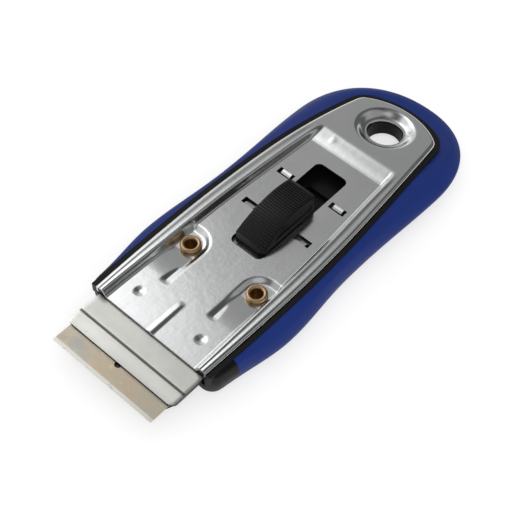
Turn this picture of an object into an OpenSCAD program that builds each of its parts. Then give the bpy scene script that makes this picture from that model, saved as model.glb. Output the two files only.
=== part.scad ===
// Retractable razor blade scraper with a soft grip, a pressed top plate and a thumb slide.
// Millimetres. X is the width, +Y runs from the blade to the tail, +Z is up.
// Lengths along the handle are measured from the front edge of the top plate.

/* [Handle] */
// Length of the handle from the front edge of the plate to the tail
handle_l = 128.4; // [124:0.2:134]
// Half width at the front noses
nose_half = 25.2; // [24.4:0.1:26]
// Half width of the swell in front of the waist
swell_half = 29; // [28:0.1:31]
// Place of the swell
swell_y = 28; // [24:0.5:34]
// Half width of the waist
waist_half = 26.8; // [26.4:0.1:28.4]
// Place of the waist
waist_y = 57; // [50:0.5:64]
// Half width of the round tail
tail_half = 28.3; // [27:0.1:30]
// Place where the tail is widest
tail_y = 96; // [93:0.5:99]
// Height of the widest line of the side
side_z = 5.6; // [4.5:0.1:6.5]
// Height of the soft grip where it meets the black rim
grip_z = 11.8; // [11.5:0.1:12.4]
// Thickness of the soft skin under the core
skin = 1.6; // [1.2:0.1:1.8]
// Length of the black noses that the soft grip leaves bare
nose_l = 9; // [6:0.5:11]
// How far the top falls from the middle to the end of the tail
tail_drop = 7.4; // [5:0.1:7.8]
// Where the top begins to fall
drop_y = 71; // [66:0.5:78]
// Radius of the nose corner, seen from above
nose_r = 4.6; // [3:0.1:5]

/* [Core] */
// Height of the black rim round the plate
rim_z = 12.2; // [11.9:0.1:12.8]
// Width of the black rim
rim_w = 1.55; // [1.2:0.05:1.8]
// Gap between rim and plate
rim_gap = 0.15; // [0.1:0.05:0.3]
// Radius of the hanging hole through the core
hang_r = 5.7; // [4.5:0.1:6]
// Place of the hanging hole
hang_y = 105.8; // [104:0.1:108]
// Height of the floor under the blade holder
bay_z = 5.9; // [5.7:0.1:6]
// Height of the groove floor under the latch stem
groove_z = 4; // [3.4:0.1:4.1]

/* [Top plate] */
// Thickness of the pressed sheet
sheet = 0.7; // [0.6:0.05:0.75]
// Height of the pan, the flat middle of the plate
pan_z = 11; // [10.9:0.1:11.4]
// Height of the side rails and the tail above the pan
rail_h = 2.2; // [1.6:0.1:2.6]
// How far the outer flange reaches below the pan
flange_h = 1.1; // [0.9:0.05:1.15]
// Half width of the plate at its front edge
plate_front_half = 21.8; // [21.4:0.1:22.2]
// Largest half width of the plate
plate_half_max = 22.4; // [22:0.1:22.8]
// Place where the plate is widest
plate_wide_y = 33; // [26:0.5:40]
// Half width of the plate at its tail corners
plate_corner_half = 15.4; // [14.6:0.1:16]
// Place of the tail corners of the plate
plate_corner_y = 113.2; // [112:0.1:114]
// How far the end of the plate bows out past its corners
plate_bow = 5; // [3:0.1:6]
// Half width of the pan at the front
pan_front_half = 17.2; // [16.6:0.1:17.8]
// Half width of the pan at the ramp
pan_rear_half = 13.8; // [13.4:0.1:14.2]
// Where the ramp to the tail begins
ramp_y = 85.2; // [84:0.1:86]
// Length of the ramp
ramp_l = 7.8; // [6:0.1:8]
// Outer radius of the dished ring round the hanging hole
dish_r = 9.9; // [9:0.1:10]
// Depth of the dished ring
dish_h = 2.2; // [1.6:0.1:2.6]
// Height of the stiffening rib at the front
rib_h = 0.8; // [0.5:0.05:1]
// Half width of the stiffening rib
rib_half = 1.9; // [1.4:0.1:2.4]
// Length of the stiffening rib
rib_l = 13.7; // [8:0.1:16]
// Radius of the two front dimples
dimple_r = 1.7; // [1.2:0.1:2]
// Depth of the two front dimples
dimple_h = 0.4; // [0.3:0.05:0.45]
// Distance of the dimples from the front edge
dimple_y = 8; // [6:0.5:10]
// Distance of the dimples from the middle
dimple_x = 12.2; // [10:0.1:13]

/* [Slot and tongues] */
// Half width of the slot for the thumb slide
slot_half = 6.1; // [5.9:0.05:6.3]
// Front end of the slot
slot_y = 38.9; // [38.5:0.1:39.5]
// Corner radius of the slot
slot_r = 2; // [1:0.1:3]
// Free play of the slide at each end of the slot
stop_gap = 0.3; // [0.2:0.05:0.5]
// Travel of the slide
travel = 20; // [18:0.5:20]
// Width of the bent tongues beside the slot
tongue_w = 4.2; // [3.4:0.1:4.4]
// Length of the bent tongues
tongue_l = 1.6; // [1.2:0.1:1.8]
// Distance of the tongues from the middle
tongue_x = 10.4; // [10.2:0.1:10.6]
// Width of the slit round each tongue
slit_w = 0.8; // [0.5:0.05:1]
// Bend of the tongues in degrees
tongue_bend = 18; // [10:1:20]
// Free end of the front tongues
tongue_front_y = 53.7; // [53:0.1:54.2]
// Free end of the rear tongues
tongue_rear_y = 69; // [68.6:0.1:69.4]

/* [Plate rivets] */
// Distance of the rivets from the middle
rivet_x = 13.2; // [13:0.1:13.4]
// Place of the rivets along the plate
rivet_y = 30.1; // [29.5:0.1:31]
// Radius of the rivet shank
rivet_r = 2.4; // [2.2:0.05:2.6]
// Radius of the rolled rivet flange
rivet_flange_r = 3.3; // [3:0.05:3.6]
// Radius of the hole in the rivet
rivet_bore_r = 1.85; // [1.5:0.05:1.9]
// Depth of the hole in the rivet
rivet_bore_h = 6.5; // [4:0.5:7]
// Radius of the rivet head under the handle
rivet_head_r = 3.9; // [3.4:0.1:4.2]
// Distance of the inner pocket wall from the middle
pocket_x = 8.4; // [8:0.1:8.8]
// Depth of the pockets round the rivets
pocket_h = 1.2; // [0.8:0.1:1.2]
// Radius of the pocket wall behind the rivet
pocket_r = 5.8; // [5.2:0.1:6]
// Length of the pocket in front of the rivet
pocket_l = 15.4; // [12:0.2:17]

/* [Blade] */
// Length of the cutting edge
blade_w = 39; // [38:0.1:40]
// Height of the blade from edge to back
blade_h = 19; // [18:0.1:19]
// Thickness of the blade
blade_t = 0.25; // [0.2:0.01:0.35]
// Width of the ground bevel
bevel_w = 1.1; // [0.6:0.1:1.6]
// Distance of the edge in front of the plate
reach = 19.1; // [19.1:0.1:19.4]
// Bare height of the blade in front of the holder lip
blade_bare = 6.8; // [6:0.1:7.4]
// Radius of the hole in the middle of the blade
blade_hole_r = 1.1; // [0.8:0.1:1.4]
// Thickness of the folded back of the blade
back_t = 1; // [0.9:0.02:1]
// Height of the folded back of the blade
back_h = 4; // [3.4:0.1:4.2]
// Height of the middle of the blade above the base
blade_z = 8.6; // [8.5:0.05:8.65]

/* [Holder] */
// Half width of the holder
holder_half = 20.8; // [20.4:0.1:21]
// Thickness of the lower holder sheet
base_t = 0.8; // [0.7:0.05:0.85]
// Thickness of the upper holder sheet
cap_t = 0.6; // [0.5:0.05:0.6]
// Depth of the lip in front of the step
lip_l = 5.1; // [4:0.1:5.6]
// Corner radius of the lip
lip_r = 1.8; // [0.8:0.1:3]
// Half width of the long tang that runs back to the slide
tang_half = 8.6; // [7.8:0.1:8.8]
// Rear end of the tang
tang_end_y = 61; // [58:0.5:62]
// Radius of the small rivets that join cap and base
pin_r = 1.1; // [0.8:0.05:1.3]
// Spacing of the small rivets
pin_pitch = 15; // [12:0.5:16]

/* [Thumb slide] */
// Travel of the button when it is pressed
press = 0.9; // [0.6:0.05:0.9]
// Height of the button above the pan
button_h = 7.25; // [6:0.05:8]
// Radius of the ribbed back of the button
button_r = 24.4; // [22:0.1:27]
// Place of the highest point of the button
button_top_y = 57.2; // [55:0.1:58]
// Front end of the button, behind the latch tab
button_front_y = 40.4; // [40.1:0.1:40.6]
// Rear end of the button
button_end_y = 65.1; // [64:0.1:65.3]
// Half width of the button at the slot
button_half = 5.85; // [5.5:0.05:5.9]
// Half width of the button at its top
button_top_half = 5.2; // [4.8:0.05:5.6]
// Number of ribs on the button
rib_count = 24; // [16:1:28]
// Depth of the ribs on the button
rib_d = 0.32; // [0.2:0.02:0.5]
// Thickness of the latch plate
latch_t = 0.7; // [0.6:0.05:0.75]
// Half width across the latch wings
wing_half = 13; // [12.6:0.1:13]
// Radius of the stem under the button
stem_r = 2.4; // [2:0.1:2.6]
// Thickness of the leaf spring
leaf_t = 0.3; // [0.25:0.05:0.35]

/* [Hidden] */
$fn = 48;

// Clearances: pieces that slide, faces that rest on each other, pins in their holes
slide_gap = 0.3;
seat_gap = 0.02;
pin_gap = 0.06;
// One overrun for every cut
over = 5;

// Places along the handle and heights that follow from the sizes above
overall_l = handle_l + reach;
plate_l = plate_corner_y + plate_bow;
rail_z = pan_z + rail_h;
pan_under_z = pan_z - sheet;
flange_z = pan_z - flange_h;

// Plate: round of the rails, inner slope of the rails, where the rails widen into the tail
rail_round = 1.7;
rail_in = 0.9;
tail_inset = 3.4;
rib_r = (pow(rib_half, 2) + pow(rib_h, 2)) / (2 * rib_h);
dimple_ball_r = (pow(dimple_r, 2) + pow(dimple_h, 2)) / (2 * dimple_h);

// Dished ring: flat rim beside the hole, and its tilt with the falling tail
dish_rim = 1.1;
dish_tilt = atan(2 * tail_drop * (hang_y - drop_y) / pow(handle_l - drop_y, 2));

// Blade and holder
back_y = blade_h - reach;
step_y = lip_l + blade_bare - reach;
lip_y = blade_bare - reach;
back_wall = (back_t - blade_t) / 2 - seat_gap;
back_z = blade_z - back_t / 2;
lip_fall = 0.2;
groove_w = 0.35;
base_in = 0.4;
base_wide_y = 4.8;
joggle = 0.86;
joggle_y = base_wide_y + base_in;
head_z = back_z - seat_gap * 2;
tang_z = head_z - joggle;
foot_z = head_z + seat_gap + cap_t;
cap_z = blade_z + back_t / 2 + seat_gap * 2 + cap_t;
ledge_z = cap_z + slide_gap;
pin_y = (back_y + joggle * 2 + base_wide_y) / 2;

// Openings in the tang
tang_hole_y = 9;
tang_hole_pitch = 15;
tang_hole_half = 3.5;
tang_hole_l = 10;

// Rivet pockets: shallow in front, where the holder passes below them
pocket_tip_r = 1.1;
pocket_front_h = 0.3;
pocket_shoulder = 0.5;
pocket_step_y = back_y + joggle / 2 + travel + slide_gap;
head_h = 1.1;

// Thumb slide
stem_block_l = 20.5;
block_y = slot_y + stop_gap;
block_end_y = block_y + stem_block_l;
slot_end_y = slot_y + travel + stem_block_l + 2 * stop_gap;
stem_y = slot_y + stop_gap + stem_block_l / 2;
latch_z = pan_under_z - tongue_l * sin(tongue_bend) - slide_gap - seat_gap;
button_mid_z = pan_z + button_h - button_r;
rest_z = pan_z + press + slide_gap;
button_front_z = button_mid_z + sqrt(pow(button_r, 2) - pow(button_top_y - button_front_y, 2));
end_lean = 0.7;
end_cut = 1.4;
side_in = 0.35;
side_frame = 1.1;
latch_half = 8.2;
wing_gap = 0.5;
wing_play = 0.2;
wing_y = tongue_front_y + slide_gap + wing_play;
wing_end_y = tongue_rear_y - slide_gap - wing_gap;
tab_x = 3.3;
tab_w = 1.2;
tab_h = pan_z - sheet / 2 - latch_z + latch_t;
clip_r = 4.2;
clip_t = 0.6;
clip_z = tang_z - base_t - slide_gap - clip_t;
leaf_half_l = 8;
leaf_half_w = 4;

// Space inside the core
bay_gap = 0.4;
bay_end_y = base_wide_y + travel + slide_gap;
ledge_x = 17.9;
groove_half = clip_r + slide_gap;
filler_l = 32;

// Shape of the side of the handle: shares of the way from the outline to the rim, and of the grip height
side_shares = [[0.95, 0], [0.55, 0.05], [0.24, 0.15], [0.06, 0.3], [0, side_z / grip_z], [0.05, 0.63],
    [0.17, 0.77], [0.36, 0.885], [0.56, 0.945], [0.78, 0.975], [1, 1]];
tail_power = 2.2;
side_steps = 16;
ramp_steps = 5;
end_steps = 3;
corner_steps = 4;
bow_steps = 5;
corner_size = 3.2;

// A smooth step from 0 to 1
function ease(t) = (1 - cos(180 * min(1, max(0, t)))) / 2;
function mix(a, b, t) = a + (b - a) * t;

// How far the top lies lower at y than in the middle
function drop(y) = tail_drop * pow(max(0, (y - drop_y) / (handle_l - drop_y)), 2);

// Half widths along the handle, the plate and the pan
function handle_half(y) =
    y < swell_y ? mix(nose_half, swell_half, ease(y / swell_y)) :
    y < waist_y ? mix(swell_half, waist_half, ease((y - swell_y) / (waist_y - swell_y))) :
    mix(waist_half, tail_half, ease((y - waist_y) / (tail_y - waist_y)));
function plate_half(y) =
    y < plate_wide_y
    ? plate_half_max - (plate_half_max - plate_front_half) * pow(1 - y / plate_wide_y, 2)
    : plate_half_max - (plate_half_max - plate_corner_half)
        * pow((y - plate_wide_y) / (plate_corner_y - plate_wide_y), 2);
function pan_half(y) = mix(pan_front_half, pan_rear_half, pow(max(0, y / ramp_y), 1.5));

// Height of the plate between its rails: the pan, then the ramp, then the tail
function rail_top(y) = rail_z - drop(y);
function floor_top(y) = mix(pan_z, rail_top(y), ease((y - ramp_y) / ramp_l));

// Right half of the outline of the plate, from the front to the tail
side_ys = concat(
    [for (k = [0:side_steps]) mix(-over, ramp_y, k / side_steps)],
    [for (k = [1:ramp_steps]) ramp_y + ramp_l * k / ramp_steps],
    [for (k = [1:end_steps]) mix(ramp_y + ramp_l, plate_corner_y - corner_size, k / end_steps)]);
bow_r = (pow(plate_corner_half, 2) + pow(plate_bow, 2)) / (2 * plate_bow);
function bow_at(x) = [x, plate_l - bow_r + sqrt(pow(bow_r, 2) - pow(x, 2))];
side_end = [plate_half(plate_corner_y - corner_size), plate_corner_y - corner_size];
bow_start = bow_at(plate_corner_half - corner_size);
corner = [plate_corner_half, plate_corner_y];
function bend(a, b, c, t) = mix(mix(a, b, t), mix(b, c, t), t);
plate_points = concat(
    [for (y = side_ys) [plate_half(y), y]],
    [for (k = [1:corner_steps]) bend(side_end, corner, bow_start, k / (corner_steps + 1))],
    [for (k = [0:bow_steps - 1]) bow_at(bow_start.x * (1 - k / bow_steps))],
    [bow_at(bow_start.x / (4 * bow_steps))]);
point_count = len(plate_points);

// The same outline moved outwards by d, or inwards where d is negative
function side_of(p, q) = [q.y - p.y, p.x - q.x] / norm(q - p);
function moved(points, d) = [for (i = [0:len(points) - 1])
    points[i] + d * side_of(points[max(0, i - 1)], points[min(len(points) - 1, i + 1)])];

// Outline of the handle, each point straight out from a point of the rim
function tail_reach(a) = pow(pow(cos(a) / tail_half, tail_power)
    + pow(sin(a) / (handle_l - tail_y), tail_power), -1 / tail_power);
function handle_point(p) = p.y < tail_y ? [handle_half(p.y), p.y] :
    let (a = atan2(p.y - tail_y, p.x)) [tail_reach(a) * cos(a), tail_y + tail_reach(a) * sin(a)];
rim_points = moved(plate_points, rim_gap + rim_w);

// The front corner of the nose takes the place of the first points
front_turns = [90, 60, 30, 0];
nose_points = concat(
    [for (a = front_turns) [nose_half - nose_r * (1 - cos(a)), nose_r * (1 - sin(a))]],
    [for (i = [0:point_count - 1]) if (plate_points[i].y > nose_r) handle_point(rim_points[i])]);
inner_points = concat(
    [for (a = front_turns) [nose_half - nose_r - rim_w * 2 + rim_w * cos(a), nose_r * (1.4 - 0.4 * sin(a))]],
    [for (i = [0:point_count - 1]) if (plate_points[i].y > nose_r) rim_points[i]]);

// A closed ring from the right half of an outline, with the height given for each point
function ring(points, zs) = let (n = len(points)) concat(
    [for (i = [0:n - 1]) [points[i].x, points[i].y, zs[i]]],
    [for (i = [n - 1:-1:0]) [-points[i].x, points[i].y, zs[i]]]);

// A closed skin over a stack of such rings
module loft(rings) {
    n = len(rings[0]);
    last = (len(rings) - 1) * n;
    walls = [for (k = [0:len(rings) - 2], i = [0:n - 1])
        let (j = (i + 1) % n, a = k * n)
        each [[a + i, a + n + i, a + n + j], [a + i, a + n + j, a + j]]];
    floors = [for (i = [0:n / 2 - 2])
        each [[i, i + 1, n - 2 - i], [i, n - 2 - i, n - 1 - i]]];
    roofs = [for (i = [0:n / 2 - 2])
        each [[last + i, last + n - 1 - i, last + n - 2 - i], [last + i, last + n - 2 - i, last + i + 1]]];
    polyhedron([for (r = rings) each r], concat(walls, floors, roofs), convexity = 6);
}

// A prism over an outline between two heights that may both follow the drop of the tail
module prism(points, low, high) {
    loft([ring(points, low), ring(points, high)]);
}

// A plate with round corners, drawn flat
module round_rect(x0, y0, x1, y1, r) {
    translate([x0 + r, y0]) square([x1 - x0 - 2 * r, y1 - y0]);
    translate([x0, y0 + r]) square([x1 - x0, y1 - y0 - 2 * r]);
    for (x = [x0 + r, x1 - r], y = [y0 + r, y1 - r]) translate([x, y]) circle(r);
}

// A shape drawn in Y and Z, as deep as w to both sides of the middle
module across(w) {
    rotate([90, 0, 90]) linear_extrude(2 * w, center = true) children();
}

// Everything is drawn from the front edge of the plate, then centred
module centred() {
    translate([0, reach - overall_l / 2, 0]) children();
}

module both_sides() {
    children();
    mirror([1, 0, 0]) children();
}

// Whole outer form of the handle, noses and grip together
module handle_form() {
    loft([for (s = side_shares) ring(
        [for (i = [0:len(nose_points) - 1]) mix(nose_points[i], inner_points[i], s[0])],
        [for (p = nose_points) s[1] * (grip_z - drop(p.y))])]);
}

// Block of the core inside the rim
module core_form(low, high) {
    points = moved(plate_points, rim_gap + rim_w);
    prism(points, [for (p = points) low], [for (p = points) high - drop(p.y)]);
}

// Space that the wells of the hanging hole and of the rivet heads take from the soft skin
module skin_wells() {
    translate([0, hang_y, -over]) cylinder(r = hang_r + rim_w, h = handle_l);
    translate([0, hang_y, 0]) cylinder(r1 = hang_r + 2 * rim_w, r2 = hang_r + rim_w, h = rim_w);
    both_sides() translate([rivet_x, rivet_y, -over])
        cylinder(r = rivet_head_r + slide_gap, h = over + side_z);
}

module grip_cover() {
    color("#2f3c82") centred() difference() {
        intersection() {
            handle_form();
            translate([-handle_l, nose_l, 0]) cube([2 * handle_l, handle_l, handle_l]);
        }
        core_form(skin, rim_z + over);
        skin_wells();
    }
}

// Bed of the plate: the pan and ramp lie on it, the flange hangs in a groove along its edge
module plate_bed() {
    points = moved(plate_points, rim_gap);
    prism(points, [for (p = points) floor_top(p.y) - sheet - seat_gap], [for (p = points) rail_z + over]);
    difference() {
        prism(points, [for (p = points) flange_z - rim_gap - drop(p.y)], [for (p = points) rail_z]);
        core = moved(plate_points, -sheet - rim_gap);
        prism(core, [for (p = core) 0], [for (p = core) rail_z + over]);
    }
}

// Space that the slide, the tang and the holder need inside the core
module slide_space() {
    bay_l = bay_end_y + over;
    translate([-holder_half - bay_gap, -over, bay_z])
        cube([2 * (holder_half + bay_gap), bay_l, ledge_z - bay_z]);
    translate([-ledge_x, -over, bay_z]) cube([2 * ledge_x, bay_l, rail_z]);
    translate([-tang_half - bay_gap, 0, bay_z])
        cube([2 * (tang_half + bay_gap), wing_y, rail_z]);
    translate([-wing_half - bay_gap, wing_y - slide_gap - over / 2, bay_z])
        cube([2 * (wing_half + bay_gap), wing_end_y + travel + 2 * slide_gap - wing_y + over / 2, rail_z]);
    translate([-groove_half, stem_y - groove_half, groove_z])
        cube([2 * groove_half, travel + 2 * groove_half, rail_z]);
}

module core_chassis() {
    color("#1e1e20") centred() difference() {
        union() {
            difference() {
                core_form(skin, rim_z);
                translate([-handle_l, -over, -over]) cube([2 * handle_l, nose_l + over, grip_z]);
            }
            intersection() {
                handle_form();
                translate([-handle_l, -over, -over]) cube([2 * handle_l, nose_l + over, handle_l]);
            }
        }
        translate([-handle_l, -2 * over, -over]) cube([2 * handle_l, 2 * over, handle_l]);
        plate_bed();
        slide_space();
        hang_bore(hang_r);
        dish_solid(dish_r + seat_gap, dish_h + sheet + seat_gap);
        both_sides() {
            translate([rivet_x, rivet_y, -over]) cylinder(r = rivet_r + pin_gap, h = handle_l);
            pocket(sheet + seat_gap, -sheet - seat_gap);
        }
    }
    color("#1e1e20") centred() both_sides() rail_filler();
}

// Moulded ridges that fill the front half of the side rails
module rail_filler() {
    side = plate_front_half - sheet - 2 * rim_gap;
    inner = pan_front_half + rail_in + sheet * 1.6;
    top = rail_z - sheet - rim_gap;
    translate([0, filler_l + rim_gap, 0]) rotate([90, 0, 0]) linear_extrude(filler_l) polygon([
        [pan_front_half + sheet + rim_gap, ledge_z - sheet / 4], [side, ledge_z - sheet / 4],
        [side, top - sheet], [plate_front_half - sheet - rail_round * 0.8, top], [inner, top]]);
}

module hang_bore(r) {
    translate([0, hang_y, -over]) cylinder(r = r, h = handle_l);
}

// Solid of the dished ring, tilted with the tail of the plate
module dish_solid(r, h) {
    translate([0, hang_y, rail_top(hang_y)]) rotate([-dish_tilt, 0, 0])
        rotate_extrude() polygon([[0, -h], [hang_r + dish_rim, -h], [r, 0], [r, over], [0, over]]);
}

// Pocket pressed into the pan round a rivet. Its floor rises to the pan at the front.
module pocket(grow, lift) {
    r = pocket_r + grow;
    tip = pocket_tip_r + grow;
    mid_x = pocket_x + pocket_r;
    outer_x = pan_half(rivet_y) + rail_in / 6 - pocket_tip_r;
    inner_x = pocket_x + pocket_tip_r;
    front_y = rivet_y - pocket_l + pocket_tip_r;
    turn = acos((outer_x + pocket_tip_r - mid_x) / pocket_r);
    intersection() {
        translate([0, 0, pan_z - pocket_h - sheet - over]) linear_extrude(pocket_h + sheet + 2 * over)
            polygon(concat(
                [for (k = [0:12]) let (a = mix(turn, 180, k / 12)) [mid_x + r * cos(a), rivet_y + r * sin(a)]],
                [for (a = [180:30:270]) [inner_x + tip * cos(a), front_y + tip * sin(a)]],
                [for (a = [270:30:360]) [outer_x + tip * cos(a), front_y + tip * sin(a)]]));
        across(handle_l) polygon([
            [front_y - tip, pan_z + lift], [pocket_step_y, pan_z - pocket_front_h + lift],
            [rivet_y - rivet_flange_r, pan_z - pocket_h + lift],
            [rivet_y + r + over, pan_z - pocket_h + lift], [rivet_y + r + over, pan_z + over],
            [front_y - tip, pan_z + over]]);
    }
}

// The sheet itself: rails, pan, ramp and tail in one skin. Shares are parts of the rail height.
function rail_w(p) = p.y < ramp_y + ramp_l ? plate_half(p.y) - pan_half(p.y) :
    mix(plate_half(ramp_y + ramp_l) - pan_half(ramp_y + ramp_l), tail_inset,
        ease((p.y - ramp_y - ramp_l) / tail_inset));
function inset(f) = let (far = moved(plate_points, -1)) [for (i = [0:point_count - 1])
    mix(plate_points[i], far[i], f(rail_w(plate_points[i])))];
function level(share, down) = [for (p = plate_points)
    mix(floor_top(p.y), rail_top(p.y), share) - down];
module sheet_skin() {
    loft([
        ring(inset(function (w) w - sheet * 0.8), level(0, sheet)),
        ring(inset(function (w) w - rail_in - sheet * 0.8), level(0.9, sheet)),
        ring(inset(function (w) w - rail_in - sheet * 1.6), level(1, sheet)),
        ring(inset(function (w) sheet + rail_round * 0.7), level(1, sheet)),
        ring(inset(function (w) sheet + rail_round * 0.2), level(1, sheet * 1.5)),
        ring(inset(function (w) sheet), level(1, sheet * 2.4)),
        ring(inset(function (w) sheet), [for (p = plate_points) flange_z - drop(p.y)]),
        ring(inset(function (w) 0), [for (p = plate_points) flange_z - drop(p.y)]),
        ring(inset(function (w) 0), level(1, rail_round)),
        ring(inset(function (w) rail_round * 0.1), level(1, rail_round * 0.56)),
        ring(inset(function (w) rail_round * 0.42), level(1, rail_round * 0.18)),
        ring(inset(function (w) rail_round), level(1, 0)),
        ring(inset(function (w) w - rail_in - rail_round * 0.35), level(1, 0)),
        ring(inset(function (w) w - rail_in), level(0.86, 0)),
        ring(inset(function (w) w - rail_in * 0.2), level(0.16, 0)),
        ring(inset(function (w) w + rail_in * 0.3), level(0, 0))]);
}

// Round back of the stiffening rib: a bar with a ball end, cut off at the pan
module rib_bar(r) {
    translate([0, -over, pan_z + rib_h - rib_r]) rotate([-90, 0, 0])
        cylinder(r = r, h = rib_l + over - rib_half);
    translate([0, rib_l - rib_half, pan_z + rib_h - rib_r]) sphere(r);
}
module dimple(grow) {
    translate([dimple_x, dimple_y, pan_z - dimple_h + dimple_ball_r]) sphere(dimple_ball_r + grow);
}

// Window that frees a tongue, and the bent tongue that grows from its root
module tongue_window(y, way) {
    x0 = tongue_x - tongue_w / 2 - slit_w;
    translate([x0, min(y - way * tongue_l, y + way * slit_w), pan_z - sheet - over])
        cube([tongue_w + 2 * slit_w, tongue_l + slit_w, sheet + 2 * over]);
}
module tongue(y, way) {
    translate([tongue_x, y - way * tongue_l, pan_z]) mirror([0, (1 - way) / 2, 0])
        rotate([-tongue_bend, 0, 0]) translate([-tongue_w / 2, -sheet / 2, -sheet])
            cube([tongue_w, tongue_l + sheet / 2, sheet]);
}

module top_plate() {
    color("#b9bbbd") centred() difference() {
        union() {
            difference() {
                union() {
                    sheet_skin();
                    both_sides() intersection() {
                        pocket(sheet, -sheet);
                        translate([0, 0, pan_z - sheet - over]) cube([handle_l, handle_l, sheet / 2 + over]);
                    }
                    intersection() {
                        rib_bar(rib_r);
                        translate([-over, -over, pan_z - sheet / 2]) cube([2 * over, 2 * over + rib_l, over]);
                    }
                    both_sides() intersection() {
                        dimple(sheet);
                        translate([0, 0, pan_z - sheet - over]) cube([handle_l, handle_l, sheet / 2 + over]);
                    }
                }
                both_sides() {
                    pocket(0, 0);
                    pocket(pocket_shoulder, pocket_h - pocket_front_h);
                    dimple(0);
                    tongue_window(tongue_front_y, 1);
                    tongue_window(tongue_rear_y, -1);
                }
                rib_bar(rib_r - sheet);
                dish_solid(dish_r - sheet / 2, over);
                translate([0, 0, pan_z - sheet - over]) linear_extrude(2 * over + sheet)
                    round_rect(-slot_half, slot_y, slot_half, slot_end_y, slot_r);
            }
            difference() {
                dish_solid(dish_r, dish_h + sheet);
                dish_solid(dish_r - sheet, dish_h);
                translate([0, hang_y, rail_top(hang_y)]) rotate([-dish_tilt, 0, 0])
                    cylinder(r = 2 * dish_r, h = 2 * over);
            }
            both_sides() {
                tongue(tongue_front_y, 1);
                tongue(tongue_rear_y, -1);
            }
        }
        translate([-handle_l, -2 * over, 0]) cube([2 * handle_l, 2 * over, handle_l]);
        hang_bore(hang_r + dish_rim / 4);
        both_sides() translate([rivet_x, rivet_y, 0]) cylinder(r = rivet_r + pin_gap, h = handle_l);
    }
}

// Semi-tubular rivet: a low head below, a rolled collar round its blind hole above
module plate_rivets() {
    seat = pan_z - pocket_h;
    collar = rivet_flange_r - rivet_bore_r;
    color("#c9a86a") centred() both_sides() translate([rivet_x, rivet_y, 0]) difference() {
        union() {
            translate([0, 0, skin - head_h]) cylinder(r1 = rivet_head_r - head_h / 2, r2 = rivet_head_r, h = head_h);
            translate([0, 0, skin - head_h]) cylinder(r = rivet_r, h = seat + head_h - skin + collar / 2);
            translate([0, 0, seat + collar / 2]) rotate_extrude()
                translate([rivet_bore_r + collar / 2, 0]) circle(collar / 2);
        }
        translate([0, 0, seat + collar - rivet_bore_h]) cylinder(r = rivet_bore_r, h = rivet_bore_h + over);
    }
}

// Lower sheet of the holder with the long tang. The two sheets hold the folded back of the blade.
module holder_base() {
    color("#c9cac4") centred() difference() {
        intersection() {
            across(holder_half) polygon([[lip_y, head_z], [joggle_y, head_z], [joggle_y + joggle, tang_z],
                [tang_end_y, tang_z], [tang_end_y, tang_z - base_t], [joggle_y + joggle, tang_z - base_t],
                [joggle_y, head_z - base_t], [lip_y, head_z - base_t]]);
            linear_extrude(pan_z) {
                round_rect(base_in - holder_half, lip_y + 2 * base_in, holder_half - base_in, base_wide_y, lip_r);
                round_rect(-tang_half, 0, tang_half, tang_end_y, lip_r);
            }
        }
        translate([0, stem_y, 0]) cylinder(r = stem_r + pin_gap * 2, h = pan_z);
        for (y = [tang_hole_y, tang_hole_y + tang_hole_pitch]) linear_extrude(pan_z)
            round_rect(-tang_hole_half, y, tang_hole_half, y + tang_hole_l, tang_hole_half / 2);
        pin_places() cylinder(r = pin_r + pin_gap, h = pan_z);
    }
}

module holder_cap() {
    color("#d4d5d0") centred() difference() {
        intersection() {
            across(holder_half) polygon([[lip_y, cap_z - lip_fall], [step_y - groove_w, cap_z - lip_fall / 3],
                [step_y, cap_z - lip_fall], [step_y + groove_w, cap_z], [back_y + joggle / 2, cap_z],
                [back_y + joggle * 2, foot_z], [base_wide_y, foot_z], [base_wide_y, foot_z - cap_t],
                [back_y + joggle * 2, foot_z - cap_t], [back_y + joggle / 2, cap_z - cap_t],
                [lip_y, cap_z - cap_t]]);
            linear_extrude(pan_z) round_rect(-holder_half, lip_y, holder_half, base_wide_y, lip_r);
        }
        pin_places() cylinder(r = pin_r + pin_gap, h = pan_z);
    }
}
module pin_places() {
    for (i = [-1, 0, 1]) translate([i * pin_pitch, pin_y, 0]) children();
}

module holder_rivets() {
    color("#b4b5b0") centred() pin_places() {
        translate([0, 0, head_z - base_t]) cylinder(r = pin_r, h = foot_z - head_z + base_t);
        translate([0, 0, foot_z]) cylinder(r1 = pin_r * 1.5, r2 = pin_r, h = pin_r / 2);
    }
}

module blade() {
    color("#b5b0a0") centred() difference() {
        across(blade_w / 2) polygon([[-reach, blade_z], [bevel_w - reach, blade_z - blade_t / 2],
            [back_y - back_wall, blade_z - blade_t / 2], [back_y - back_wall, blade_z + blade_t / 2],
            [bevel_w - reach, blade_z + blade_t / 2]]);
        translate([0, lip_y - blade_hole_r * 0.1, 0]) cylinder(r = blade_hole_r, h = pan_z);
        both_sides() translate([blade_w / 2, back_y - back_h - blade_hole_r, 0])
            cylinder(r = blade_hole_r, h = pan_z);
    }
}

module blade_back() {
    t = blade_t / 2 + seat_gap;
    h = back_t / 2;
    color("#8f9092") centred() across(blade_w / 2) polygon([
        [back_y - back_h, blade_z - h], [back_y - back_wall / 2, blade_z - h], [back_y, blade_z - h / 2],
        [back_y, blade_z + h / 2], [back_y - back_wall / 2, blade_z + h], [back_y - back_h, blade_z + h],
        [back_y - back_h, blade_z + t], [back_y - back_wall + seat_gap, blade_z + t],
        [back_y - back_wall + seat_gap, blade_z - t], [back_y - back_h, blade_z - t]]);
}

// Points of the humped back of the button, d below its surface
function crest(a, d) = [button_top_y + (button_r - d) * sin(a), button_mid_z + (button_r - d) * cos(a)];
crest_front = -acos((pan_z - button_mid_z) / button_r);
crest_rear = asin((button_end_y - button_top_y) / button_r);
rib_front = mix(crest_front, crest_rear, 0.14);

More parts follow.
